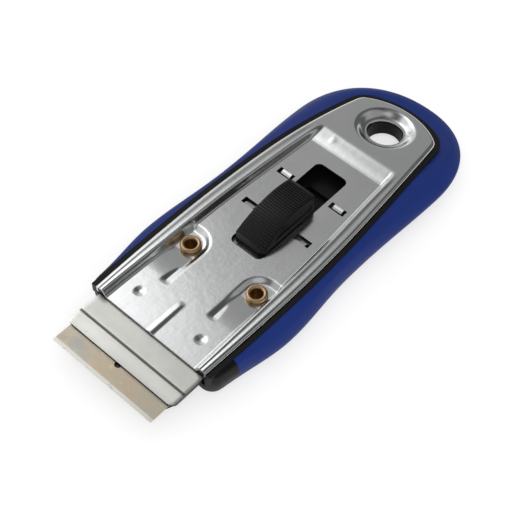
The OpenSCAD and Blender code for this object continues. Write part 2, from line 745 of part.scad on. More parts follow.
// Side view of the button: a humped back with fine ribs across it
button_side = concat(
    [[button_front_y, latch_z + seat_gap], [block_end_y, latch_z + seat_gap], [block_end_y, rest_z],
        [button_end_y - end_lean, rest_z]],
    [for (k = [rib_count:-1:1], s = [0, 0.5, 0.75])
        crest(mix(rib_front, crest_rear, (k - s) / rib_count), s == 0.5 ? rib_d : s == 0 ? 0 : rib_d)],
    [crest(rib_front, 0), crest(mix(crest_front, rib_front, 0.5), 0), [button_front_y, button_front_z]]);

module thumb_button() {
    color("#232326") centred() {
        difference() {
            intersection() {
                across(button_half) polygon(button_side);
                rotate([90, 0, 0]) linear_extrude(4 * handle_l, center = true) polygon([
                    [-button_half, 0], [button_half, 0], [button_half, pan_z + side_frame],
                    [button_top_half, pan_z + button_h], [-button_top_half, pan_z + button_h],
                    [-button_half, pan_z + side_frame]]);
                linear_extrude(handle_l) polygon([[-button_half, button_front_y], [button_half, button_front_y],
                    [button_half, button_end_y - end_cut], [button_half - end_cut, button_end_y],
                    [end_cut - button_half, button_end_y], [-button_half, button_end_y - end_cut]]);
            }
            both_sides() {
                side_recess();
                block_corners();
            }
        }
        translate([0, stem_y, clip_z]) cylinder(r = stem_r, h = latch_z - clip_z + side_frame);
    }
}

// Cuts that let the square corners of the block pass the round corners of the slot
module block_corners() {
    linear_extrude(rest_z) for (y = [button_front_y, block_end_y]) translate([button_half, y])
        rotate(45) square(end_cut * sqrt(2), center = true);
}

// Shallow panel in each side of the button, framed by its edge
module side_recess() {
    r = button_r - 2 * side_frame;
    base = rest_z + side_frame;
    near = -acos((base - button_mid_z) / r);
    far = asin((button_end_y - end_cut - side_frame - button_top_y) / r);
    translate([button_top_half - side_in, 0, 0]) rotate([90, 0, 90]) linear_extrude(over)
        polygon(concat([for (k = [0:8]) let (a = mix(near, far, k / 8))
            [button_top_y + r * sin(a), button_mid_z + r * cos(a)]],
            [[button_top_y + r * sin(far), base]]));
}

// Spring-steel plate that rides under the pan and stops against the tongues
module latch_plate() {
    color("#3a3b3d") centred() difference() {
        union() {
            translate([0, 0, latch_z - latch_t]) linear_extrude(latch_t) {
                round_rect(-latch_half, block_y, latch_half, block_end_y, lip_r / 2);
                difference() {
                    round_rect(-wing_half, wing_y, wing_half, wing_end_y, lip_r / 2);
                    translate([-slot_half - wing_gap, block_end_y])
                        square([2 * (slot_half + wing_gap), handle_l]);
                }
            }
            translate([-tab_x - tab_w, block_y, latch_z - latch_t]) cube([tab_w, latch_t, tab_h]);
        }
        translate([0, stem_y, 0]) cylinder(r = stem_r + pin_gap, h = pan_z);
    }
}

// Push-on clip that holds the stem under the tang
module stem_clip() {
    color("#777879") centred() translate([0, stem_y, clip_z]) difference() {
        cylinder(r = clip_r, h = clip_t);
        translate([0, 0, -over]) cylinder(r = stem_r + pin_gap, h = 2 * over);
    }
}

// Bowed leaf between the tang and the latch plate, with a hole for the stem
module leaf_spring() {
    rise = latch_z - latch_t - tang_z - leaf_t - 2 * seat_gap;
    low = tang_z + seat_gap;
    steps = 12;
    color("#9a9b9d") centred() difference() {
        across(leaf_half_w) polygon(concat(
            [for (k = [-steps:steps]) [stem_y + leaf_half_l * k / steps,
                low + leaf_t + rise * ease(1 - abs(k) / steps)]],
            [for (k = [steps:-1:-steps]) [stem_y + leaf_half_l * k / steps,
                low + rise * ease(1 - abs(k) / steps)]]));
        translate([0, stem_y, 0]) cylinder(r = stem_r + pin_gap * 2, h = pan_z);
    }
}

grip_cover();
core_chassis();
top_plate();
plate_rivets();
holder_base();
holder_cap();
holder_rivets();
blade();
blade_back();
thumb_button();
latch_plate();
stem_clip();
leaf_spring();
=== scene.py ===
import bmesh
import bpy
import math
import numpy as np
from mathutils import Matrix, Vector


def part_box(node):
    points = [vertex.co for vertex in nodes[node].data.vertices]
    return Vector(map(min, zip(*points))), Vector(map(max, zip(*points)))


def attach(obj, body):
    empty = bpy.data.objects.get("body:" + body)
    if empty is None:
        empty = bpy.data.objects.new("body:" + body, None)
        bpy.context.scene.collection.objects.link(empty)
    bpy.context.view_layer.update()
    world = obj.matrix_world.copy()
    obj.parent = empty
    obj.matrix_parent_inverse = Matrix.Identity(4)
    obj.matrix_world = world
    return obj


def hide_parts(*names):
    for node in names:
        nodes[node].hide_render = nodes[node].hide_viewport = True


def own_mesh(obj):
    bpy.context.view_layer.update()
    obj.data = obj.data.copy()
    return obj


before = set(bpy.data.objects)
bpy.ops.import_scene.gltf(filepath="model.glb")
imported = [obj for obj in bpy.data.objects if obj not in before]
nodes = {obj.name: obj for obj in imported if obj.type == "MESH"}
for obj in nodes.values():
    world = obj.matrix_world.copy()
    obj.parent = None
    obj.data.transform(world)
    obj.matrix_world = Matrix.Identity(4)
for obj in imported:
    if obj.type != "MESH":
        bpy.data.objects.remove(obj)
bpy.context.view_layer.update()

MM = 0.001

# Camera: stands in front and to the right of the scraper and looks down on the plate at 54 degrees.
# Lens, place and roll were solved from the photographed edges of the blade, slot and plate.
CAMERA_PLACE = (0.14143, -0.16886, 0.29124)
CAMERA_RIGHT = (0.73927, 0.67337, 0.00770)
CAMERA_UP = (-0.54564, 0.59226, 0.59288)
CAMERA_BACK = (0.39466, -0.44250, 0.80526)
CAMERA_LENS = 83.39
camera = bpy.data.objects.new("camera", bpy.data.cameras.new("camera"))
bpy.context.scene.collection.objects.link(camera)
camera.matrix_world = Matrix((CAMERA_RIGHT, CAMERA_UP, CAMERA_BACK)).transposed().to_4x4()
camera.location = CAMERA_PLACE
camera.data.lens = CAMERA_LENS
camera.data.clip_start = 0.01
bpy.context.scene.camera = camera


# The soft grip: thermoplastic rubber moulded round the hard core. It is an open tray with a
# flat underside, a waist and a round tail, and it leaves the black noses of the core bare.
HANDLE_L = 128.4
ORIGIN_Y = 54.65
NOSE_HALF, SWELL_HALF, WAIST_HALF, TAIL_HALF = 25.2, 29.0, 26.8, 28.3
SWELL_Y, WAIST_Y, TAIL_Y = 28.0, 57.0, 96.0
GRIP_Z, SKIN, NOSE_L, NOSE_R, RIM_W, RIM_GAP = 11.8, 1.6, 9.0, 3.4, 1.55, 0.15
NOSE_LIFT, LIFT_L = 3.4, 34.0
TAIL_DROP, DROP_Y, TAIL_POWER = 7.4, 71.0, 2.2
PLATE_FRONT, PLATE_MAX, PLATE_WIDE_Y = 21.8, 22.4, 33.0
CORNER_HALF, CORNER_Y, PLATE_BOW, CORNER_SIZE = 15.4, 113.2, 5.0, 3.2
HANG_Y, HANG_R = 105.8, 5.7
RIVET_X, RIVET_Y, WELL_R, WELL_TOP = 13.2, 30.1, 4.2, 5
SIDE_SHARES = ((0.98, 0), (0.74, 0.05), (0.46, 0.15), (0.22, 0.3), (0.05, 0.475), (0.03, 0.63),
               (0.17, 0.77), (0.36, 0.885), (0.56, 0.945), (0.78, 0.975), (1, 1))
# How far the cutters reach past the pieces: to the sides, to the front, down and up
FAR_X, FAR_Y, FAR_LOW, FAR_HIGH, LOW, HIGH = 60, 40, -20, 40, -5, 20


def mix(a, b, t):
    return a + (b - a) * t


def ease(t):
    return (1 - np.cos(np.pi * np.clip(t, 0, 1))) / 2


def drop(y):
    return TAIL_DROP * (np.maximum(0, y - DROP_Y) / (HANDLE_L - DROP_Y)) ** 2


def handle_half(y):
    front = mix(NOSE_HALF, SWELL_HALF, ease(y / SWELL_Y))
    middle = mix(SWELL_HALF, WAIST_HALF, ease((y - SWELL_Y) / (WAIST_Y - SWELL_Y)))
    rear = mix(WAIST_HALF, TAIL_HALF, ease((y - WAIST_Y) / (TAIL_Y - WAIST_Y)))
    return front if y < SWELL_Y else middle if y < WAIST_Y else rear


def plate_half(y):
    y = np.asarray(y, float)
    front = PLATE_MAX - (PLATE_MAX - PLATE_FRONT) * (1 - y / PLATE_WIDE_Y) ** 2
    share = (y - PLATE_WIDE_Y) / (CORNER_Y - PLATE_WIDE_Y)
    rear = PLATE_MAX - (PLATE_MAX - CORNER_HALF) * share ** 2
    return np.where(y < PLATE_WIDE_Y, front, rear)


BOW_R = (CORNER_HALF ** 2 + PLATE_BOW ** 2) / (2 * PLATE_BOW)
PLATE_L = CORNER_Y + PLATE_BOW


def bow_y(x):
    return PLATE_L - BOW_R + np.sqrt(BOW_R ** 2 - np.asarray(x, float) ** 2)


def plate_outline(side_steps, corner_steps, bow_steps, start=-5.0):
    """Right half of the plate's outline, from the front to the tail."""
    last = CORNER_Y - CORNER_SIZE
    pts = [(float(plate_half(y)), y) for y in np.linspace(start, last, side_steps)]
    a, b = np.array(pts[-1]), np.array((CORNER_HALF, CORNER_Y))
    x0 = CORNER_HALF - CORNER_SIZE
    c = np.array((x0, float(bow_y(x0))))
    for k in range(1, corner_steps + 1):
        t = k / (corner_steps + 1)
        pts.append(tuple(mix(mix(a, b, t), mix(b, c, t), t)))
    for k in range(bow_steps + 1):
        x = x0 * (1 - k / bow_steps)
        pts.append((x, float(bow_y(x))))
    return np.array(pts)


def moved(points, d):
    """The outline moved outwards by d."""
    along = np.gradient(points, axis=0)
    side = np.stack([along[:, 1], -along[:, 0]], 1)
    side /= np.linalg.norm(side, axis=1)[:, None]
    side[-1] = (0, 1)
    return points + side * d


def handle_point(p):
    """The handle's side beside a point of the plate's rim; round the tail it is a blunt ellipse."""
    x, y = p
    if y < TAIL_Y:
        return (handle_half(y), y)
    a = math.atan2(y - TAIL_Y, x)
    ca, sa = max(math.cos(a), 0.0), math.sin(a)
    total = (ca / TAIL_HALF) ** TAIL_POWER + (sa / (HANDLE_L - TAIL_Y)) ** TAIL_POWER
    r = total ** (-1 / TAIL_POWER)
    return (r * ca, TAIL_Y + r * sa)


def curve_through(points, per_step):
    """Catmull-Rom points between the given ones."""
    pts = np.array(points, float)
    ends = np.vstack([2 * pts[0] - pts[1], pts, 2 * pts[-1] - pts[-2]])
    out = []
    for i in range(1, len(ends) - 2):
        p0, p1, p2, p3 = ends[i - 1:i + 3]
        for t in np.arange(per_step) / per_step:
            out.append(0.5 * (2 * p1 + (p2 - p0) * t + (2 * p0 - 5 * p1 + 4 * p2 - p3) * t ** 2
                              + (3 * p1 - p0 - 3 * p2 + p3) * t ** 3))
    return np.array(out + [pts[-1]])


def object_from(name, verts, faces, crease=32):
    """A closed mesh piece. Points are in millimetres from the plate's front edge."""
    mesh = bpy.data.meshes.new(name)
    pts = (np.asarray(verts, float) - (0, ORIGIN_Y, 0)) * MM
    mesh.from_pydata([tuple(p) for p in pts], [], [tuple(f) for f in faces])
    mesh.validate()
    obj = bpy.data.objects.new(name, mesh)
    bpy.context.scene.collection.objects.link(obj)
    smooth(obj, crease)
    return obj


def smooth(obj, crease=32):
    """Shades the piece smooth, apart from edges that bend more than the crease angle."""
    obj.data.polygons.foreach_set("use_smooth", [True] * len(obj.data.polygons))
    obj.data.set_sharp_from_angle(angle=math.radians(crease))


def loft(name, rings):
    """Skin over closed rings, each its right half then its left, with strips across both ends."""
    n = len(rings[0])
    faces = []
    for k in range(len(rings) - 1):
        for i in range(n):
            j = (i + 1) % n
            faces.append((k * n + i, k * n + j, (k + 1) * n + j, (k + 1) * n + i))
    top = (len(rings) - 1) * n
    for i in range(n // 2 - 1):
        faces.append((i, n - 1 - i, n - 2 - i, i + 1))
        faces.append((top + i, top + i + 1, top + n - 2 - i, top + n - 1 - i))
    obj = object_from(name, np.vstack(rings), faces)
    facing_out(obj)
    return obj


def facing_out(obj, within=1e-7):
    """Joins corners that meet and turns all faces outwards."""
    bm = bmesh.new()
    bm.from_mesh(obj.data)
    bmesh.ops.remove_doubles(bm, verts=bm.verts, dist=within)
    bmesh.ops.recalc_face_normals(bm, faces=bm.faces)
    bm.to_mesh(obj.data)
    bm.free()


def ring(points, z, apart=1e-4):
    """A closed ring from its right half. Its two points on the middle line stay just apart."""
    z = np.broadcast_to(z, len(points))
    right = np.column_stack([points, z])
    left = right[::-1] * (-1, 1, 1)
    left[0, 0] -= apart
    return np.vstack([right, left])


def prism(name, first, last):
    """A closed bar between two loops with as many points."""
    n = len(first)
    faces = [(i, (i + 1) % n, n + (i + 1) % n, n + i) for i in range(n)]
    faces += [tuple(range(n))[::-1], tuple(range(n, 2 * n))]
    bar = object_from(name, np.vstack([first, last]), faces)
    facing_out(bar)
    return bar


def upright(name, loop, z0, z1):
    """A prism that stands on a loop of x and y."""
    return prism(name, *([(x, y, z) for x, y in loop] for z in (z0, z1)))


def round_bar(name, x, y, r, z0, z1, sides=96):
    turn = np.arange(sides) / sides * 2 * np.pi
    return upright(name, np.column_stack([x + r * np.cos(turn), y + r * np.sin(turn)]), z0, z1)


def block(name, low, high):
    (x0, y0, z0), (x1, y1, z1) = low, high
    return upright(name, ((x0, y0), (x1, y0), (x1, y1), (x0, y1)), z0, z1)


def middle_block(name, half, y0, y1, z0, z1):
    return block(name, (-half, y0, z0), (half, y1, z1))


def settle(obj):
    """Turns the modifiers of a piece into its mesh."""
    made = bpy.data.meshes.new_from_object(obj.evaluated_get(bpy.context.evaluated_depsgraph_get()))
    obj.modifiers.clear()
    before, obj.data = obj.data, made
    bpy.data.meshes.remove(before)


def even(obj):
    """Makes large flat faces shade flat beside small round ones."""
    obj.modifiers.new("even", "WEIGHTED_NORMAL").keep_sharp = True
    settle(obj)


def combine(obj, others, operation="DIFFERENCE", crease=32):
    """Cuts the others away from the piece, or joins them to it, and removes them."""
    for other in others:
        cut = obj.modifiers.new("cut", "BOOLEAN")
        cut.operation, cut.solver, cut.object = operation, "EXACT", other
    settle(obj)
    for other in others:
        bpy.data.objects.remove(other)
    smooth(obj, crease)


def corner_ring(points, half, radius, depth):
    """Puts the round front corner of the nose before the points of an outline."""
    turns = np.radians(np.arange(90, -1, -10))
    corner = np.column_stack([half - radius * (1 - np.cos(turns)), depth * (1 - np.sin(turns))])
    return np.vstack([corner, points])


outline = plate_outline(90, 14, 24)
keep = outline[:, 1] > NOSE_R
rim = moved(outline, RIM_GAP + RIM_W)
outer = corner_ring(np.array([handle_point(p) for p in rim[keep]]), NOSE_HALF, NOSE_R, NOSE_R)
inner = corner_ring(rim[keep], rim[keep][0, 0], NOSE_R, NOSE_R)
side = curve_through(SIDE_SHARES, 5)
side[:, 1] = np.clip(side[:, 1], 0, 1)


def handle_form(name):
    y = outer[:, 1]
    low = NOSE_LIFT * (1 - np.clip(y / LIFT_L, 0, 1)) ** 2
    return loft(name, [ring(mix(outer, inner, s), mix(low, GRIP_Z - drop(y), z)) for s, z in side])


def core_form(name, low, high):
    pts = moved(outline, RIM_GAP + RIM_W)
    return loft(name, [ring(pts, low), ring(pts, high - drop(pts[:, 1]))])


CORE_TOP = 30.0
grip = handle_form("soft_grip")
combine(grip, [middle_block("cut_nose", FAR_X, -FAR_Y, NOSE_L, FAR_LOW, FAR_HIGH),
               core_form("cut_core", SKIN, CORE_TOP),
               round_bar("cut_hang", 0, HANG_Y, HANG_R + RIM_W, LOW, HIGH),
               round_bar("cut_rivet_l", -RIVET_X, RIVET_Y, WELL_R, LOW, WELL_TOP),
               round_bar("cut_rivet_r", RIVET_X, RIVET_Y, WELL_R, LOW, WELL_TOP)], crease=40)
even(grip)


class Wire:
    """A socket of a material that can be used in sums."""

    def __init__(self, tree, socket):
        self.tree, self.socket = tree, socket

    def sum(self, operation, a, b):
        return node(self.tree, "ShaderNodeMath", {"operation": operation}, {0: a, 1: b})

    def __add__(self, other): return self.sum("ADD", self, other)
    def __sub__(self, other): return self.sum("SUBTRACT", self, other)
    def __mul__(self, other): return self.sum("MULTIPLY", self, other)
    def __truediv__(self, other): return self.sum("DIVIDE", self, other)
    def __radd__(self, other): return self.sum("ADD", other, self)
    def __rsub__(self, other): return self.sum("SUBTRACT", other, self)
    def __rmul__(self, other): return self.sum("MULTIPLY", other, self)
    def __gt__(self, other): return self.sum("GREATER_THAN", self, other)


def node(tree, kind, settings=None, sockets=None, out=0):
    """Adds a node, sets it, then its sockets with values or wires, and gives one output."""
    made = tree.nodes.new(kind)
    for key, value in (settings or {}).items():
        setattr(made, key, value)
    for key, value in (sockets or {}).items():
        if isinstance(value, Wire):
            tree.links.new(value.socket, made.inputs[key])
        else:
            made.inputs[key].default_value = value
    return Wire(tree, made.outputs[out])


def finish_of(name, **constants):
    """A new material: its tree, its shader and Object coordinates."""
    material = bpy.data.materials.new(name)
    material.use_nodes = True
    tree = material.node_tree
    shader = tree.nodes["Principled BSDF"]
    for key, value in constants.items():
        shader.inputs[key.replace("_", " ")].default_value = value
    place = node(tree, "ShaderNodeTexCoord", out=3)
    return material, tree, shader, place


def feed(tree, shader, **wires):
    for key, wire in wires.items():
        tree.links.new(wire.socket, shader.inputs[key.replace("_", " ")])


def noise(tree, place, scale, detail=3.0, roughness=0.55, stretch=None):
    if stretch:
        place = node(tree, "ShaderNodeMapping", None, {"Vector": place, "Scale": stretch})
    return node(tree, "ShaderNodeTexNoise", None,
                {"Vector": place, "Scale": scale, "Detail": detail, "Roughness": roughness})


def colours(tree, factor, a, b):
    mixer = tree.nodes.new("ShaderNodeMix")
    mixer.data_type = "RGBA"
    for socket, value in zip((mixer.inputs[0], mixer.inputs[6], mixer.inputs[7]), (factor, a, b)):
        if isinstance(value, Wire):
            tree.links.new(value.socket, socket)
        else:
            socket.default_value = value if isinstance(value, (int, float)) else (*value, 1)
    return Wire(tree, mixer.outputs[2])


def bump(tree, height, strength, distance):
    return node(tree, "ShaderNodeBump", None,
                {"Height": height, "Strength": strength, "Distance": distance})


def ramp(tree, wire, start, end, first, last, kind="LINEAR"):
    """Goes from the first level to the last one while the wire goes from start to end."""
    return node(tree, "ShaderNodeMapRange", {"interpolation_type": kind},
                {0: wire, 1: start, 2: end, 3: first, 4: last})


def part_of(tree, vector, axis):
    """The x, y or z of a vector: axis 0, 1 or 2."""
    return node(tree, "ShaderNodeSeparateXYZ", None, {0: vector}, out=axis)


def dress(obj, material, body=None, stands_for=()):
    obj.data.materials.clear()
    obj.data.materials.append(material)
    if body:
        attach(obj, body)
    if stands_for:
        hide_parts(*stands_for)


grip_finish, tree, shader, place = finish_of("blue_rubber", Specular_IOR_Level=0.24)
grain = noise(tree, place, 2600.0, 2.0)
cloud = noise(tree, place, 45.0, 3.0)
feed(tree, shader, Base_Color=colours(tree, cloud, (0.0015, 0.013, 0.108), (0.003, 0.019, 0.142)),
     Roughness=0.46 + 0.16 * cloud, Normal=bump(tree, grain, 0.12, 0.00015))
dress(grip, grip_finish, "handle", ("grip_cover",))


# The hard core: black moulded plastic that carries the plate. Its noses, its rim round the
# plate, the ridges in the rails and the floor under the slot are what shows of it.
core_finish, tree, shader, place = finish_of("black_core_plastic", Specular_IOR_Level=0.18)
grain = noise(tree, place, 1800.0, 3.0)
cloud = noise(tree, place, 70.0, 2.0)
feed(tree, shader, Base_Color=colours(tree, cloud, (0.002, 0.002, 0.0025), (0.004, 0.004, 0.0045)),
     Roughness=0.34 + 0.14 * cloud, Normal=bump(tree, grain, 0.10, 0.00012))


RIM_Z, SHEET, SEAT, PAN_Z, RAIL_H, RAMP_Y, RAMP_L = 12.2, 0.7, 0.02, 11.0, 2.2, 85.2, 7.8
BAY_Z, BAY_HALF, BAY_END, BAY_FRONT = 5.9, 21.2, 30.1, -5
LEDGE_Z, LEDGE_X, GROOVE_Z, GROOVE_HALF, TANG_HALF = 10.04, 17.9, 4.0, 4.5, 9
WING_Y, WING_END, WINGS_HALF, WINGS_AHEAD, WINGS_PLAY = 54.2, 68.2, 13.4, 2.8, 0.3
STEM_Y, TRAVEL = 49.45, 20
NOSE_STEP, BED_TOP, DISH_BED_R, DISH_BED_Z, SHANK_R = 3, 18.0, 9.6, 7.45, 2.46
WELL_IN, WELL_OUT, WELL_FRONT, WELL_REAR, WELL_Z = 7.6, 17.3, 14, 36.7, 9.05
RIDGE, RIDGE_END = ((18.05, 9.9), (20.8, 9.9), (20.8, 11.66), (19.74, 12.35), (19.22, 12.35)), 32.0
# The cutters' floors lie this much apart, so that none lies in the plane of another
STAGGER = 0.01


def sheared_bar(name, r, low, high, slope):
    """A round cutter round the hanging hole whose ends follow the slope of the tail."""
    bar = round_bar(name, 0, HANG_Y, r, low, high)
    for vertex in bar.data.vertices:
        vertex.co.z -= slope * (vertex.co.y - (HANG_Y - ORIGIN_Y) * MM)
    return bar


def ridge(name, side):
    """Filler ridge in the front half of a rail."""
    return prism(name, *([(side * x, y, z) for x, z in RIDGE] for y in (RIM_GAP, RIDGE_END)))


def rail_top(y):
    return PAN_Z + RAIL_H - drop(y)


def ramp_share(y, bend=0.16):
    """Rise of the ramp from 0 to 1: straight, with a short bend at its foot and head."""
    t = np.clip((y - RAMP_Y) / RAMP_L, 0, 1)
    foot, head = t ** 2 / (2 * bend), 1 - bend - (1 - t) ** 2 / (2 * bend)
    return np.where(t < bend, foot, np.where(t > 1 - bend, head, t - bend / 2)) / (1 - bend)


def floor_top(y):
    return mix(PAN_Z, rail_top(y), ramp_share(y))


core = handle_form("black_core")
combine(core, [middle_block("keep_nose", FAR_X, -FAR_Y, NOSE_L, FAR_LOW, FAR_HIGH)], "INTERSECT")
body = core_form("core_body", SKIN, RIM_Z)
combine(body, [middle_block("cut_body", FAR_X, -FAR_Y, NOSE_L, FAR_LOW, GRIP_Z - NOSE_STEP),
               middle_block("cut_front", FAR_X, -FAR_Y, 0, FAR_LOW, FAR_HIGH)])
combine(core, [body], "UNION")
bed = moved(outline, RIM_GAP)
bed = loft("cut_bed", [ring(bed, floor_top(bed[:, 1]) - SHEET - SEAT), ring(bed, BED_TOP)])
slope = 2 * TAIL_DROP * (HANG_Y - DROP_Y) / (HANDLE_L - DROP_Y) ** 2
combine(core, [
    bed,
    middle_block("cut_bay", BAY_HALF, BAY_FRONT, BAY_END, BAY_Z, LEDGE_Z),
    middle_block("cut_cap", LEDGE_X, BAY_FRONT - 1, BAY_END + 0.1, BAY_Z + STAGGER, HIGH),
    middle_block("cut_tang", TANG_HALF, STAGGER, WING_Y + 1, BAY_Z + 2 * STAGGER, HIGH),
    middle_block("cut_wings", WINGS_HALF, WING_Y - WINGS_AHEAD, WING_END + TRAVEL + WINGS_PLAY,
                 BAY_Z + 3 * STAGGER, HIGH),
    middle_block("cut_stem", GROOVE_HALF, STEM_Y - GROOVE_HALF, STEM_Y + TRAVEL + GROOVE_HALF,
                 GROOVE_Z, HIGH),
    block("cut_pocket_l", (-WELL_OUT, WELL_FRONT, WELL_Z), (-WELL_IN, WELL_REAR, HIGH)),
    block("cut_pocket_r", (WELL_IN, WELL_FRONT, WELL_Z), (WELL_OUT, WELL_REAR, HIGH)),
    sheared_bar("cut_dish", DISH_BED_R, DISH_BED_Z, HIGH, slope),
    round_bar("cut_hole", 0, HANG_Y, HANG_R, LOW, HIGH),
    round_bar("cut_shank_l", -RIVET_X, RIVET_Y, SHANK_R, LOW, HIGH),
    round_bar("cut_shank_r", RIVET_X, RIVET_Y, SHANK_R, LOW, HIGH)])
combine(core, [ridge("ridge_l", -1), ridge("ridge_r", 1)], "UNION", crease=38)
even(core)
dress(core, core_finish, "handle", ("core_chassis",))


# The top plate: one pressed sheet of bright plated steel. Rails, ramp, dished ring, rib, dimples
# and rivet pockets are all drawn from the sheet, the slot and the tongue slits are punched.
FLANGE_H, PAN_FRONT, PAN_REAR, PAN_CURVE = 1.1, 17.2, 13.8, 1.5
PAN_BULGE, BULGE_Y, BULGE_L = 0.45, 50, 20
RAIL_FOOT, RAIL_IN, RAIL_ROUND, CHANNEL_H = 0.1, 2.1, 1.3, 0.09
FLANGE_MID, FLANGE_LEAN_MID, FLANGE_LEAN = 0.5, 0.1, 0.3
DISH_R, DISH_H, DISH_RIM, DISH_ROUND, DISH_FLAT = 9.9, 2.2, 1.1, 0.3, 0.6
RIB_HALF, RIB_H, RIB_L, RIB_REAR_HALF, RIB_REAR_H, RIB_ROUND = 1.25, 0.32, 13.7, 0.95, 0.2, 1.6
DIMPLE_X, DIMPLE_Y, DIMPLE_R, DIMPLE_H = 12.2, 8.0, 1.65, 0.4
POCKET_X, POCKET_R, POCKET_H, POCKET_L, POCKET_FRONT_H = 8.4, 5.8, 1.2, 15.4, 0.45
POCKET_TIP, POCKET_STEP, RIVET_FLANGE, WALL_OUT, WALL_W = 1.1, 0.5, 3.3, 0.9, 1.9
TRENCH_RISE, TRENCH_W, TRENCH_FADE = 1.0, 1.6, 6.0
SLOT_HALF, SLOT_Y, SLOT_END, SLOT_R = 6.1, 38.9, 80.0, 2.0
TONGUE_X, TONGUE_W, TONGUE_L, SLIT_W, TONGUE_BEND = 10.4, 4.2, 1.6, 0.8, 18.0
TONGUE_FRONT, TONGUE_REAR, TONGUE_ROOT, TONGUE_GAP, PIN_LOW = 53.7, 69.0, 0.3, 0.35, 5
PIP_X, PIP_Y, PIP_R, PIP_H = -8.2, 89.4, 1.5, 0.07
SOFT, SOFTER = 1.3, 1.5


def pan_half(y):
    """Half width of the pan: narrower to the rear, with a slight bulge beside the slot."""
    bulge = PAN_BULGE * np.exp(-((y - BULGE_Y) / BULGE_L) ** 2)
    return mix(PAN_FRONT, PAN_REAR, np.maximum(0, y / RAMP_Y) ** PAN_CURVE) + bulge


def swell(d, power):
    """A round swelling that goes from 1 in its middle to 0 where d is 1."""
    return np.where(d < 1, (1 - np.minimum(d, 1) ** 2) ** power, 0)


def plate_height(x, y):
    """Height of the pressed sheet's upper face."""
    ax = np.abs(x)
    # Pan and rails, with a faint channel along the top of each rail
    half, pan = plate_half(np.minimum(y, CORNER_Y)), pan_half(np.minimum(y, RAMP_Y + RAMP_L))
    low, high = pan + RAIL_FOOT, pan + RAIL_IN
    up = ease((ax - low) / (high - low))
    z = mix(floor_top(y), rail_top(y), up)
    crown = np.clip((ax - high) / np.maximum(half - RAIL_ROUND - high, 0.1), 0, 1)
    fade = 1 - ease((y - RAMP_Y) / RAMP_L)
    z = z - CHANNEL_H * np.sin(np.pi * crown) ** 2 * up * fade
    # Dished ring round the hanging hole
    r, reach = np.hypot(x, y - HANG_Y), DISH_R + DISH_ROUND
    z = z - DISH_H * ease((reach - r) / (reach - HANG_R - DISH_RIM * DISH_FLAT))
    # Rib in the middle of the front, a dimple on each side of it, and a pip on the ramp
    back = np.clip(y / RIB_L, 0, 1)
    height = mix(RIB_H, RIB_REAR_H, back) * ease((RIB_L - y) / RIB_ROUND)
    z = z + height * swell(ax / mix(RIB_HALF, RIB_REAR_HALF, back), SOFT)
    z = z - DIMPLE_H * swell(np.hypot(ax - DIMPLE_X, y - DIMPLE_Y) / DIMPLE_R, SOFT)
    z = z + PIP_H * swell(np.hypot(x - PIP_X, y - PIP_Y) / PIP_R, SOFTER)
    # Distance inside the pocket: straight inner wall, round end behind the rivet, round front tip
    mid, front = POCKET_X + POCKET_R, RIVET_Y - POCKET_L
    behind = POCKET_R - np.hypot(ax - mid, y - RIVET_Y)
    behind = np.where(ax < mid, behind, POCKET_R + RIVET_Y - y)
    inside = np.where(y < RIVET_Y, ax - POCKET_X, behind)
    tip = POCKET_TIP - np.hypot(ax - POCKET_X - POCKET_TIP, y - front - POCKET_TIP)
    tip = np.where(ax < POCKET_X + POCKET_TIP, tip, y - front)
    inside = np.where(y < front + POCKET_TIP, tip, inside)
    # Its floor falls to the rivet, and a shallow trench follows its inner wall
    flat_l = RIVET_Y - RIVET_FLANGE - front - POCKET_STEP
    floor = POCKET_H * np.clip((y - front - POCKET_STEP) / flat_l, 0, 1) ** 2
    trench = POCKET_FRONT_H * ease((y - front) / TRENCH_RISE)
    trench = trench * (1 - ease((ax - POCKET_X - POCKET_TIP) / TRENCH_W))
    trench = trench * (1 - ease((y - RIVET_Y + TRENCH_FADE) / TRENCH_FADE))
    return z - ease((inside + WALL_OUT) / WALL_W) * np.maximum(floor, trench) * (1 - up)


